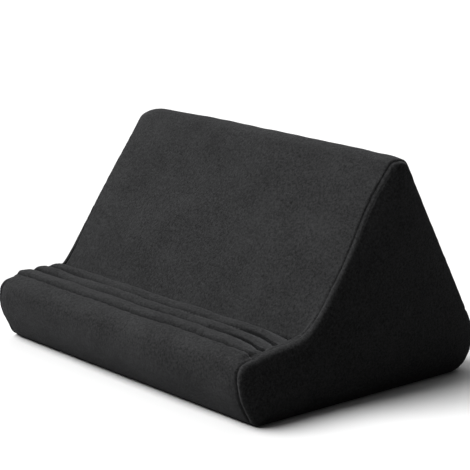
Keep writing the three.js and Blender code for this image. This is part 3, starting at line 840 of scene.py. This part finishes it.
@dataclass
class Cover:
    """The sewn cover: six panels across the width and a full-profile panel at each end.

    Sizes are in millimetres. The surface is worked out once, as rows across the width by points
    round the profile, and each panel is cut from it along the seams.
    """

    profile: Profile = field(default_factory=Profile)
    edge_radius: float = 4.8
    side_crown: float = 4.0
    side_soft: float = 16.0
    base_roll: float = 0.4
    base_roll_height: float = 18.0
    roll_ease: float = 1.15
    seam_turn: float = math.radians(2.0)
    seam_climb: float = math.radians(26.0)
    seam_low: float = 62.0
    seam_high: float = 132.0
    seam_reach: float = 1.5
    seam_on_side: float = 0.6
    zip_fold: float = 0.5
    zip_fold_at: float = 4.0
    zip_fold_reach: float = 2.0
    groove_depth: float = 1.1
    groove_reach: tuple[float, float] = (0.95, 1.8)
    groove_rise: tuple[float, float] = (-2.0, 7.0)
    dip_depth: float = 0.4
    dip_reach: float = 5.0
    pucker_reach: float = 7.0
    ledge_seam: float = 0.7
    ledge_points: int = 9
    lean: dict[Side, float] = field(default_factory=lambda: {Side.LEFT: 0.4, Side.RIGHT: 4.2})
    lean_height: float = 132.0
    lean_reach: float = 24.0
    lean_facing: float = -0.3
    rim_blend: float = 6.0
    rib_rise: float = 6.6
    rib_roundness: float = 0.6
    rib_apart: float = 37.0
    tuck_apart: float = 19.0
    tuck_reach: float = 3.2
    crease_depth: float = 1.6
    crease_width: float = 1.3
    crease_bend: float = 0.06
    slit_reach: float = 6.5
    fold_width: float = 1.9
    fold_middle: float = 0.3
    fold_from: float = 16.0
    fold_to: float = 70.0
    ends: dict[Side, RibEnd] = field(default_factory=lambda: {Side.LEFT: LEFT_END, Side.RIGHT: RIGHT_END})
    lip_fill: float = 3.0
    lip_reach: float = 3.4
    front_reach: float = 6.0
    foot_points: float = 24.0
    foot_passes: int = 110
    soft_before: float = 4.0
    soft_after: float = 1.0
    rest_crown: float = 0.9
    front_crown: float = 1.6
    back_crown: float = 1.8
    crown_floor: float = 12.0
    ridge_from: float = 112.0
    ridge_crown: float = 1.5
    ridge_power: int = 8
    ridge_drop: float = 3.3
    ridge_reach: float = 18.0
    hub_height: float = 0.72
    flat_floor: tuple[float, float] = (3.0, 16.0)
    flat_zip: tuple[float, float] = (4.0, 18.0)
    flat_rim: tuple[float, float] = (4.0, 30.0)
    cloth: float = 1.4
    rows_across: int = 97
    rows_roll: int = 12
    face_shares: tuple[float, ...] = (
        0.988, 0.97, 0.948, 0.92, 0.885, 0.845, 0.8, 0.745, 0.68, 0.6, 0.51, 0.41, 0.31, 0.21, 0.12, 0.05,
    )
    fill: float = 0.95
    panels: dict[str, Piece] = field(default_factory=dict)

    def __post_init__(self) -> None:
        """Works out the profile's points and the widths that follow from it."""
        self.loop = self.profile.loop()
        self.edge = self.profile.width / 2 - self.side_crown - self.edge_radius
        on_rest = self.loop.on(Stretch.REST) & (self.loop.ny < self.lean_facing)
        shape = bell(self.loop.z - self.lean_height, self.lean_reach) * on_rest
        self.begin = {side: self.edge - lean * shape for side, lean in self.lean.items()}
        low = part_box(Stretch.BASE.value)[0]
        self.middle = self.profile.base_tuck + self.profile.clear / 2 - low.y / MM

    def away(self, x: Array) -> Array:
        """Distance from the nearer rolled edge."""
        return self.edge - np.abs(x)

    def end(self, name: str, x: Array) -> Array:
        """A value of the end of the channels that is nearer to each place."""
        left, right = (getattr(self.ends[side], name) for side in Side)
        return np.where(x < 0, left, right)

    def eased(self, low: str, high: str, x: Array) -> Array:
        """Eases from 0 to 1 between two distances of the nearer end of the channels."""
        return smooth_step(self.end(low, x), self.end(high, x), self.away(x))

    def opened(self, x: Array) -> Array:
        """How far the creases are open: 1 along the ledge and 0 beside the side seams."""
        return self.eased("close_from", "close_to", x)

    def seam_line(self, side: Side) -> Array:
        """Distance of a side seam from the middle over the cloth, at each point of the profile."""
        loop = self.loop
        turn = self.seam_turn + self.seam_climb * smooth_step(self.seam_low, self.seam_high, loop.z)
        return self.begin[side] + self.edge_radius * turn + SEAM_STRAY[side].along(loop.around)

    def channels_along(self, x: Array) -> Array:
        """Place along the ledge counted in channels, which bend a little forwards at both ends."""
        share = self.loop.share
        bend = self.crease_bend * (1.0 - self.eased("close_from", "fall_from", x))
        return np.clip(share + bend * np.sin(np.pi * share), 0.0, ALMOST) * self.profile.rib_count

    def crest_height(self, x: Array) -> Array:
        """Height of the channels' crests, which fall towards both ends."""
        fall = 1.0 - self.eased("fall_to", "fall_from", x)
        return self.rib_rise * (1.0 - (1.0 - self.end("lift", x)) * fall)

    def sewn_depth(self, x: Array) -> Array:
        """Depth of the creases, which are deepest in the slits near both ends."""
        slit = self.end("slit", x) * bell(self.away(x) - self.end("slit_at", x), self.slit_reach)
        return self.crease_depth * (1.0 + slit)

    def rib_height(self, x: Array) -> Array:
        """Height of the sewn channels over the ledge."""
        loop = self.loop
        along = self.channels_along(x)
        channel, sewn = np.floor(along), np.round(along)
        part = along - channel
        gap = np.minimum(part, 1.0 - part) * self.profile.rib_pitch
        crest = self.crest_height(x) * (1.0 + RIB_UNEVEN.along(x + self.rib_apart * channel))
        tuck = RIB_TUCK.along(x + self.tuck_apart * sewn) * np.exp(-gap / self.tuck_reach)
        pinch = np.where(sewn == 0, 0.0, self.sewn_depth(x)) * bell(gap, self.crease_width)
        lip = self.lip_fill * bell(loop.run, self.lip_reach)
        ribs = crest * np.sin(np.pi * part) ** self.rib_roundness + tuck - pinch + lip
        band = self.end("low", x) + (self.end("high", x) - self.end("low", x)) * loop.share
        return loop.on(Stretch.LEDGE) * (band + (ribs - band) * self.opened(x))

    def undercut(self, x: Array) -> Array:
        """How far each crease is folded in backwards under the channel behind it, most near the ends."""
        loop = self.loop
        along = self.channels_along(x)
        sewn = np.round(along)
        on_rest = loop.on(Stretch.REST)
        gap = np.where(on_rest, loop.run, np.abs(along - sewn) * self.profile.rib_pitch)
        folded = (loop.on(Stretch.LEDGE) & (sewn > 0)) | on_rest
        ends = 1.0 - (1.0 - self.fold_middle) * smooth_step(self.fold_from, self.fold_to, self.away(x))
        return folded * self.end("fold", x) * self.opened(x) * ends * bell(gap, self.fold_width)

    def blends(self, x: Array) -> Array:
        """The lip's soft rise to the first channel, and the crease at the foot of the backrest."""
        loop = self.loop
        open_part = self.opened(x)
        low = self.end("low", x)
        lip = (low + (self.lip_fill - low) * open_part) * bell(loop.behind, self.front_reach)
        sewn = -self.sewn_depth(x) * bell(loop.run, self.crease_width)
        filled = self.end("high", x) * bell(loop.run, self.end("reach", x))
        foot = filled + (sewn - filled) * open_part
        return loop.on(Stretch.FRONT) * lip + loop.on(Stretch.REST) * foot

    def soften(self, rows: Array, share: Array) -> Array:
        """Lets the ledge run softly into the backrest, by a share for each row."""
        foot, _ = self.loop.span(Stretch.REST)
        near = np.exp(-((np.abs(np.arange(rows.shape[1]) - foot) / self.foot_points) ** 4))
        smooth = rows
        for _ in range(self.foot_passes):
            smooth = 0.5 * smooth + 0.25 * (np.roll(smooth, 1, axis=1) + np.roll(smooth, -1, axis=1))
        return rows + (smooth - rows) * (share[:, None] * near)[:, :, None]

    def crown_height(self, x: Array) -> Array:
        """Crown of each panel, highest in its middle and nothing at its seams."""
        loop = self.loop
        along = np.sin(np.pi * loop.share)
        crown = loop.on(Stretch.REST) * self.rest_crown * along
        for stretch, height in ((Stretch.FRONT, self.front_crown), (Stretch.UPPER, self.back_crown)):
            crown = crown + loop.on(stretch) * height * along**2
        across = np.clip(1.0 - (x / self.edge) ** 2, 0.0, None)
        return crown * across * smooth_step(0.0, self.crown_floor, loop.z)

    def seam_height(self) -> Array:
        """Grooves of the seams that run across the width, and the fold along each edge of the zip."""
        loop = self.loop
        height = np.zeros(len(loop.y))
        for stretch, (start, end) in SEAM_DEPTHS.items():
            groove = start * bell(loop.run, self.seam_reach) + end * bell(loop.behind, self.seam_reach)
            height = height - loop.on(stretch) * groove
        for stretch, run in ((Stretch.UPPER, loop.behind), (Stretch.LOWER, loop.run)):
            fold = self.zip_fold * bell(run - self.zip_fold_at, self.zip_fold_reach)
            height = height + loop.on(stretch) * fold
        return height

    def side_groove(self, away: Array, side: Side) -> Array:
        """Groove of a side seam with its small puckers, by the distance over the cloth from the seam."""
        loop = self.loop
        inner, outer = self.groove_reach
        groove = -self.groove_depth * bell(away, np.where(away > 0, outer, inner))
        groove = groove - self.dip_depth * bell(away, self.dip_reach)
        tuck = SEAM_PUCKER[side].along(loop.around) * np.exp(-np.abs(away) / self.pucker_reach)
        even = np.full(self.ledge_points, 1.0 / self.ledge_points)
        near = np.convolve(loop.on(Stretch.LEDGE).astype(float), even, "same")
        return (groove + tuck) * smooth_step(*self.groove_rise, loop.z) * (1.0 - self.ledge_seam * near)

    def uneven(self, x: Array) -> Array:
        """Slow unevenness of the stuffed faces, with none on the floor or along the zip."""
        loop = self.loop
        shown = smooth_step(*self.flat_floor, loop.z) * ~(loop.on(Stretch.LOWER) | loop.on(Stretch.ZIP))
        shown = shown * np.where(loop.on(Stretch.UPPER), smooth_step(*self.flat_zip, loop.behind), 1.0)
        return sum(drift.over(x, loop.y, loop.z) for drift in FACE_DRIFTS) * shown

    def place(self, over: Array, out: Array, sign: Array) -> Array:
        """Puts points at distances over the cloth from the middle, to the side of sign, and so far out."""
        loop = self.loop
        begin = np.where(sign < 0, self.begin[Side.LEFT], self.begin[Side.RIGHT])
        turn = np.clip((over - begin) / self.edge_radius, 0.0, math.pi / 2)
        roll = self.base_roll + (1.0 - self.base_roll) * smooth_step(0.0, self.base_roll_height, loop.z)
        x = np.minimum(over, begin) + (self.edge_radius + out) * np.sin(turn)
        lift = out * np.cos(turn) - self.edge_radius * (1.0 - np.cos(turn)) * roll
        return np.stack([x * sign, loop.y + loop.ny * lift, loop.z + loop.nz * lift], axis=-1)

    def wrap_rows(self) -> Array:
        """The cover from one side seam to the other, rows by points by three."""
        shares = np.sin(np.linspace(-math.pi / 2, math.pi / 2, self.rows_across))[:, None]
        sign = np.sign(shares)
        reach = np.where(shares < 0, *(self.seam_line(side) for side in Side))
        over = np.abs(shares) * reach
        x = np.minimum(over, self.edge) * sign
        groove = np.where(shares < 0, *(self.side_groove(over - reach, side) for side in Side))
        out = self.rib_height(x) + self.blends(x) + self.crown_height(x) + self.seam_height()
        rows = self.place(over, out + groove + self.uneven(x), sign)
        rows[:, :, 1] += self.undercut(x)
        low, high = self.end("close_from", x) - self.soft_before, self.end("close_to", x) + self.soft_after
        closed = (1.0 - smooth_step(low, high, self.away(x))) * self.end("soft", x)
        return self.soften(rows, closed.mean(axis=1))

    def side_rows(self, side: Side) -> tuple[Array, Array]:
        """Rows of a side panel from its seam over the rolled edge to its face, and the face's middle."""
        seam = self.seam_line(side)
        begin = self.begin[side]
        rise = self.profile.width / 2 - begin - self.edge_radius
        end = begin + self.edge_radius * (math.pi / 2 - np.arctan(rise / self.side_soft))
        part = np.linspace(0.0, 1.0, self.rows_roll)[:, None]
        over = seam + (end - seam) * part**self.roll_ease
        x = np.minimum(over, self.edge) * side.value
        fade = np.cos(np.clip((over - begin) / self.edge_radius, 0.0, math.pi / 2)) ** 2
        out = (self.rib_height(x) + self.blends(x) + self.seam_height() * self.seam_on_side) * fade
        out = out + self.side_groove(over - seam, side) + self.uneven(x) * (1.0 - part)
        rolled = self.place(over, out, np.full_like(part, side.value))
        rolled = self.soften(rolled, np.full(self.rows_roll, self.ends[side].soft))
        rim = rolled[-1]
        hub = self.hub()
        rings = []
        for share in (*self.face_shares, 0.0):
            y, z = (hub + share * (rim[:, 1:] - hub)).T
            rings.append(np.stack([side.value * self.face_x(y, z, rim), y, z], axis=-1))
        middle = rings.pop()[0]
        return np.concatenate([rolled, np.array(rings)]), middle

    def ridge(self, x: Array, z: Array) -> Array:
        """How far the ridge is lifted: crowned across the width, with its left corner rounded off."""
        high = smooth_step(self.ridge_from, self.profile.height, z)
        crown = self.ridge_crown * (1.0 - np.clip(np.abs(x) / self.edge, 0.0, 1.0) ** self.ridge_power)
        near = np.clip(1.0 - (x + self.edge) / self.ridge_reach, 0.0, 1.0)
        return high * (crown - self.ridge_drop * near**2)

    def hub(self) -> Array:
        """A point of the side face from which the whole profile can be seen."""
        corners = self.profile.corners()
        at = [corner.starts for corner in corners].index(Stretch.REST)
        y = (corners[at].y + corners[at + 1].y) / 2 - self.profile.front_tuck
        return np.array([y, self.profile.ledge_height * self.hub_height])

    def face_x(self, y: Array, z: Array, rim: Array) -> Array:
        """How far the crowned side face stands out at places inside its rim."""
        apart = np.hypot(y[:, None] - rim[None, :, 1], z[:, None] - rim[None, :, 2])
        away = apart.min(axis=1)
        weight = np.exp((away[:, None] - apart) / self.rim_blend)
        start = (weight * np.abs(rim[:, 0])).sum(axis=1) / weight.sum(axis=1)
        rise = (self.profile.width / 2 - start) * (1.0 - np.exp(-away / self.side_soft))
        return start + rise + SIDE_DRIFT.over(np.zeros_like(y), y, z) * smooth_step(*self.flat_rim, away)

    def build(self) -> None:
        """Works out the surface, swells it and cuts the panels."""
        wrap = self.wrap_rows()
        left, left_hub = self.side_rows(Side.LEFT)
        right, right_hub = self.side_rows(Side.RIGHT)
        hubs = (left_hub, right_hub)
        rows = np.concatenate([left[:0:-1], wrap, right[1:]])
        rows[:, :, 2] += self.ridge(rows[:, :, 0], rows[:, :, 2])
        first = len(left) - 1
        last = first + len(wrap) - 1
        rows = Press(self.loop, (first, last)).swollen(rows, hubs)
        normals = grid_normals(rows)
        between = slice(first, last + 1)
        self.surface, self.normals = rows[between], normals[between]
        for stretch in STRETCHES:
            if stretch is not Stretch.ZIP:
                self.panels[stretch.value] = self.cut_panel(stretch)
        for side, span, hub in zip(Side, (slice(first, None, -1), slice(last, None)), hubs):
            node = f"side_panel_{side.name.lower()}"
            self.panels[node] = self.cut_side(node, rows[span], normals[span], hub, side)

    def world(self, points: Array) -> Array:
        """Turns millimetres from the front edge into metres in the shared frame."""
        return (points - np.array([0.0, self.middle, 0.0])) * MM

    def tube(self, name: str, rings: Array, *ends: Array) -> Piece:
        """A closed piece made of rings along +x."""
        return mesh_object(name, self.world(capped(rings, *ends)), tube_faces(*rings.shape[:2]))

    def cut_panel(self, stretch: Stretch) -> Piece:
        """Cuts one panel from the rows between the side seams, as a closed cloth with its thickness."""
        start, own = self.loop.span(stretch)
        pick = np.arange(start, start + own + 1) % len(self.loop.y)
        outer = self.surface[:, pick]
        points = np.stack([outer, outer - self.cloth * self.normals[:, pick]])
        grid = np.arange(points.size // 3).reshape(points.shape[:-1])
        plain = [quads(part) for part in (grid[0], grid[:, :, 0], grid[:, -1])]
        turned = [quads(part)[:, TURNED] for part in (grid[1], grid[:, :, -1], grid[:, 0])]
        faces = np.concatenate(plain + turned)[:, ::-1]
        return mesh_object(f"{stretch.value}_cloth", self.world(points.reshape(-1, 3)), faces.tolist())

    def cut_side(self, node: str, rows: Array, normals: Array, hub: Array, side: Side) -> Piece:
        """Makes a side panel from its rows, seam to middle point, as a closed cloth with its thickness."""
        inner = rows - self.cloth * normals
        inner_hub = hub - np.array([self.cloth * side.value, 0.0, 0.0])
        rings = np.concatenate([inner[::-1], rows])
        faces = [(first, *others[::-1]) for first, *others in tube_faces(*rings.shape[:2])]
        if side is Side.RIGHT:
            faces = [face[::-1] for face in faces]
        return mesh_object(f"{node}_cloth", self.world(capped(rings, inner_hub, hub)), faces)

    def dress(self) -> None:
        """Gives the panels their cloth and sets them on the cushion."""
        cloth = SuedeFinish().material()
        for node, piece in self.panels.items():
            slot = "side_cloth" if node.startswith("side") else "cover_cloth"
            settle(piece, cloth, slot, self.fill, node)


# Stitching


class StitchTree:
    """A Geometry Nodes tree that lays stitches along a line."""

    def __init__(self, thread: Material) -> None:
        """Builds the tree for one thread."""
        self.tree = bpy.data.node_groups.new("stitch_row", "GeometryNodeTree")
        self.thread = thread
        face = self.tree.interface
        face.new_socket("Line", in_out="INPUT", socket_type="NodeSocketGeometry")
        self.inputs: dict[str, str] = {}
        for name in ("Pitch", "Stitch", "Thread"):
            socket = face.new_socket(name, in_out="INPUT", socket_type="NodeSocketFloat")
            self.inputs[name] = socket.identifier
        face.new_socket("Stitches", in_out="OUTPUT", socket_type="NodeSocketGeometry")
        self._wire()

    def _wire(self) -> None:
        """Joins the nodes: line, evenly spaced points, one bead for each stitch, plain mesh."""
        nodes = Nodes(self.tree)
        names = ("Line", "Pitch", "Stitch", "Thread")
        line, pitch, stitch, thread = (nodes.add("NodeGroupInput", out=name) for name in names)
        curve = nodes.add("GeometryNodeMeshToCurve", Mesh=line)
        spaced = nodes.add("GeometryNodeResampleCurve", {"mode": "LENGTH"}, Curve=curve, Length=pitch)
        tangent = nodes.add("GeometryNodeInputTangent")
        turned = nodes.add("FunctionNodeAlignRotationToVector", {"axis": "Z"}, Vector=tangent)
        bead = nodes.add("GeometryNodeMeshUVSphere", Segments=7, Rings=6, Radius=0.5)
        size = nodes.add("ShaderNodeCombineXYZ", X=thread, Y=thread, Z=stitch)
        given = {"Points": spaced, "Instance": bead, "Rotation": turned, "Scale": size}
        laid = nodes.add("GeometryNodeInstanceOnPoints", **given)
        plain = nodes.add("GeometryNodeRealizeInstances", Geometry=laid)
        dyed = nodes.add("GeometryNodeSetMaterial", Geometry=plain, Material=self.thread)
        nodes.end("NodeGroupOutput", dyed)

    def sew(self, name: str, lines: Sequence[Array], sizes: dict[str, float]) -> Piece:
        """Sews along lines of points in metres, with these sizes of pitch, stitch and thread."""
        points = np.concatenate(lines)
        edges = []
        start = 0
        for line in lines:
            edges += [(start + k, start + k + 1) for k in range(len(line) - 1)]
            start += len(line)
        mesh = bpy.data.meshes.new(f"{name}_line")
        mesh.from_pydata(points.tolist(), edges, [])
        guide = placed(f"{name}_line", mesh)
        modifier = guide.modifiers.new("stitches", "NODES")
        modifier.node_group = self.tree
        for label, size in sizes.items():
            modifier[self.inputs[label]] = size
        graph = bpy.context.evaluated_depsgraph_get()
        sewn = bpy.data.meshes.new_from_object(guide.evaluated_get(graph))
        bpy.data.objects.remove(guide)
        sewn.polygons.foreach_set("use_smooth", [True] * len(sewn.polygons))
        piece = placed(name, sewn)
        cover_with(piece, self.thread)
        return piece


@dataclass
class Sewing:
    """Topstitching beside the zip and the lines that sew the channels down, in millimetres."""

    cover: Cover
    pitch: float = 3.4
    stitch: float = 2.5
    thread: float = 0.55
    from_edge: float = 4.4
    end_margin: float = 7.0
    channel_margin: float = 46.0
    over_zip: float = 0.06
    over_crease: float = 0.12

    def line_at(self, stretch: Stretch, run: float, raise_by: float, margin: float) -> Array:
        """A line of points across the width, in metres.

        Args:
            stretch: The stretch that it runs on.
            run: Distance along that stretch; from its end where negative.
            raise_by: Height over the cloth.
            margin: Distance from the side edges at which it ends.
        """
        cover = self.cover
        start, own = cover.loop.span(stretch)
        whole = float(cover.loop.whole[start])
        at = (run if run >= 0 else whole + run) / whole * own
        low = int(math.floor(at))
        part = at - low
        a, b = ((start + low + k) % len(cover.loop.y) for k in range(2))
        rows = cover.surface
        line = rows[:, a] * (1 - part) + rows[:, b] * part + raise_by * cover.normals[:, a]
        return cover.world(line[np.abs(line[:, 0]) < cover.edge - margin])

    def build(self) -> None:
        """Sews the rows and sets them on the cushion."""
        tree = StitchTree(ThreadFinish().material())
        sizes = {"Pitch": self.pitch * MM, "Stitch": self.stitch * MM, "Thread": self.thread * MM}
        profile = self.cover.profile
        sewn = [profile.ledge_run * k / profile.rib_count for k in range(1, profile.rib_count)]
        over, margin = self.over_zip, self.end_margin
        rows = {
            "topstitch_above_zip": [self.line_at(Stretch.UPPER, -self.from_edge, over, margin)],
            "topstitch_below_zip": [self.line_at(Stretch.LOWER, self.from_edge, over, margin)],
            "channel_stitches": [
                self.line_at(Stretch.LEDGE, run, self.over_crease, self.channel_margin) for run in sewn
            ],
        }
        for name, lines in rows.items():
            piece = tree.sew(name, lines, sizes)
            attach(piece, BODY)
            LOG.info("%s: %d faces", name, len(piece.data.polygons))


@dataclass
class Stuffing:
    """The foam core under the cover and the filling rolls of the channels, in millimetres."""

    cover: Cover
    depth: float = 4.7
    lining_depth: float = 3.6
    lining: float = 0.8
    rows_across: int = 25
    rows_roll: int = 7
    roll_end: float = math.radians(76.0)
    thinning: int = 2
    roll_depth: float = 1.8
    roll_margin: int = 3
    roll_floor: float = 0.3
    roll_inset: float = 13.0
    lining_inset: float = 28.0
    fill: float = 1.0

    def under(self, across: Array, depth: float) -> Array:
        """Rows at places across the width, so deep under a cover without channels."""
        over = np.abs(across)[:, None] * np.ones((1, len(self.cover.loop.y)))
        return self.cover.place(over, np.full_like(over, -depth), np.sign(across)[:, None])

    def core(self) -> Piece:
        """The foam core, a little inside the cover and without the channels."""
        cover = self.cover
        flat = np.linspace(-cover.edge, cover.edge, self.rows_across)
        rolled = cover.edge + cover.edge_radius * np.linspace(0.0, self.roll_end, self.rows_roll)[1:]
        rows = self.under(np.concatenate([-rolled[::-1], flat, rolled]), self.depth)[:, :: self.thinning]
        rows[:, :, 2] = np.maximum(rows[:, :, 2], self.depth)
        ends = (np.array([rows[i, 0, 0], *cover.hub()]) for i in (0, -1))
        return cover.tube("foam_core", rows, *ends)

    def roll(self, index: int, node: str) -> Piece:
        """The filling of one channel, counted from the front, just under the sewn cloth."""
        cover = self.cover
        start, whole = cover.loop.span(Stretch.LEDGE)
        own = whole // cover.profile.rib_count
        low = start + index * own + self.roll_margin
        high = start + (index + 1) * own - self.roll_margin
        rows = cover.surface
        inside = cover.away(rows[:, low, 0]) > self.roll_inset
        top = (rows - self.roll_depth * cover.normals)[inside][:, low : high + 1]
        share = np.linspace(1.0, 0.0, top.shape[1])[None, 1:-1, None]
        under = top[:, :1] + (top[:, -1:] - top[:, :1]) * share
        under[:, :, 2] -= self.roll_floor
        return cover.tube(f"{node}_filling", np.concatenate([top, under], axis=1)[:: self.thinning])

    def backing(self) -> Piece:
        """The cloth under the channels, which their seams are sewn to."""
        cover = self.cover
        reach = cover.edge - self.lining_inset
        across = np.linspace(-reach, reach, self.rows_across)
        depths = (self.lining_depth, self.lining_depth + self.lining)
        top, foot = (self.under(across, depth)[:, cover.loop.on(Stretch.LEDGE)] for depth in depths)
        return cover.tube("ledge_backing_lining", np.concatenate([top, foot[:, ::-1]], axis=1))

    def build(self) -> None:
        """Makes the foam, the rolls and the backing."""
        foam = FoamFinish("grey_foam", (0.20, 0.21, 0.22), (0.34, 0.35, 0.36), 900.0).material()
        fibre = FoamFinish("roll_fibre", (0.40, 0.41, 0.42), (0.56, 0.57, 0.58), 520.0).material()
        lining = WovenFinish("dark_lining", (0.016, 0.017, 0.019), (0.036, 0.037, 0.040), 1100.0).material()
        settle(self.core(), foam, "foam", self.fill, "foam_wedge", "foam_ledge")
        for index, node in enumerate(("rib_roll_front", "rib_roll_middle", "rib_roll_rear")):
            settle(self.roll(index, node), fibre, "filling", self.fill, node)
        settle(self.backing(), lining, "lining", self.fill, "ledge_backing")


@dataclass
class Zip:
    """The zip's own pieces, which keep their solid shapes and get their finishes."""

    slope: float

    def dress(self) -> None:
        """Gives each piece its finish."""
        deep, pale = (0.0085, 0.0088, 0.0095), (0.0260, 0.0265, 0.0280)
        tape = WovenFinish("zip_tape", deep, pale, 1300.0, self.slope)
        metal = ("slider", "pull", "stop_closed_upper", "stop_closed_lower", "stop_open")
        finishes = (
            (tape, ("tape_upper", "tape_lower")),
            (NylonFinish(), ("teeth_upper", "teeth_lower")),
            (EnamelFinish(), metal),
        )
        for finish, parts in finishes:
            material = finish.material()
            for part in parts:
                cover_with(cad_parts[f"zip_{part}"], material)
                LOG.info("zip_%s: %s", part, finish.name)


@dataclass(frozen=True)
class Sun:
    """A soft light from a direction, equally strong over the whole floor."""

    name: str
    source: Triple
    strength: float
    spread: float

    def build(self) -> None:
        """Adds the light."""
        data = bpy.data.lights.new(self.name, "SUN")
        data.energy = self.strength
        data.angle = self.spread
        light = placed(self.name, data)
        light.location = self.source
        light.rotation_euler = (-Vector(self.source)).to_track_quat("-Z", "Y").to_euler()


@dataclass
class Studio:
    """White floor, soft key light from the front left, softer ones overhead and behind, and the camera."""

    middle: float
    azimuth: float = math.radians(49.74)
    elevation: float = math.radians(13.39)
    focal_pixels: float = 1868.0
    frame_pixels: float = 470.0
    sensor: float = 36.0
    stand: Triple = (988.6, -737.0, 394.3)
    clip: tuple[float, float] = (0.05, 60.0)
    floor_half: float = 9.0
    floor_seen: float = 0.9
    floor_dull: float = 0.3
    world_light: float = 0.035
    suns: tuple[Sun, ...] = (
        Sun("key_light", (-0.39, -0.45, 0.80), 3.9, math.radians(38.0)),
        Sun("top_light", (-0.4, 0.25, 0.88), 0.65, math.radians(60.0)),
        Sun("back_light", (-0.52, 0.62, 0.59), 0.5, math.radians(50.0)),
    )

    def camera(self) -> None:
        """Sets the camera where the photograph was taken from."""
        data = bpy.data.cameras.new("photo_camera")
        data.sensor_width = self.sensor
        data.lens = self.focal_pixels / self.frame_pixels * self.sensor
        data.clip_start, data.clip_end = self.clip
        eye = placed("photo_camera", data)
        x, y, z = self.stand
        eye.location = (x * MM, (y - self.middle) * MM, z * MM)
        eye.rotation_euler = (math.pi / 2 - self.elevation, 0.0, self.azimuth)
        bpy.context.scene.camera = eye

    def floor(self) -> None:
        """A white floor that keeps the shadow and throws little light back."""
        half = self.floor_half
        points = np.array([(-half, -half, 0), (half, -half, 0), (half, half, 0), (-half, half, 0)], float)
        floor = mesh_object("floor", points, [(0, 1, 2, 3)])
        shader = Shader("white_floor")
        seen, dull = (
            shader.add("ShaderNodeBsdfDiffuse", Color=(tone, tone, tone, 1.0))
            for tone in (self.floor_seen, self.floor_dull)
        )
        cover_with(floor, shader.finished(shader.by_view(dull, seen)))

    def world(self) -> None:
        """A dim even light that the camera sees as white."""
        world = bpy.data.worlds.new("studio")
        bpy.context.scene.world = world
        world.use_nodes = True
        nodes = Nodes(world.node_tree)
        dim, white = (
            nodes.add("ShaderNodeBackground", Color=(1.0, 1.0, 1.0, 1.0), Strength=strength)
            for strength in (self.world_light, 1.0)
        )
        nodes.end("ShaderNodeOutputWorld", nodes.by_view(dim, white))

    def build(self) -> None:
        """Sets up the floor, the lights, the world and the camera."""
        bpy.context.scene.view_settings.view_transform = "Standard"
        self.camera()
        self.floor()
        for sun in self.suns:
            sun.build()
        self.world()


def main() -> None:
    """Builds the cushion's pieces in order and reports them."""
    logging.basicConfig(level=logging.INFO, format="%(name)s: %(message)s")
    cover = Cover()
    studio = Studio(middle=cover.middle)
    studio.build()
    cover.build()
    cover.dress()
    Stuffing(cover).build()
    Sewing(cover).build()
    Zip(slope=cover.profile.back_angle).dress()


if __name__ == "__main__":
    main()
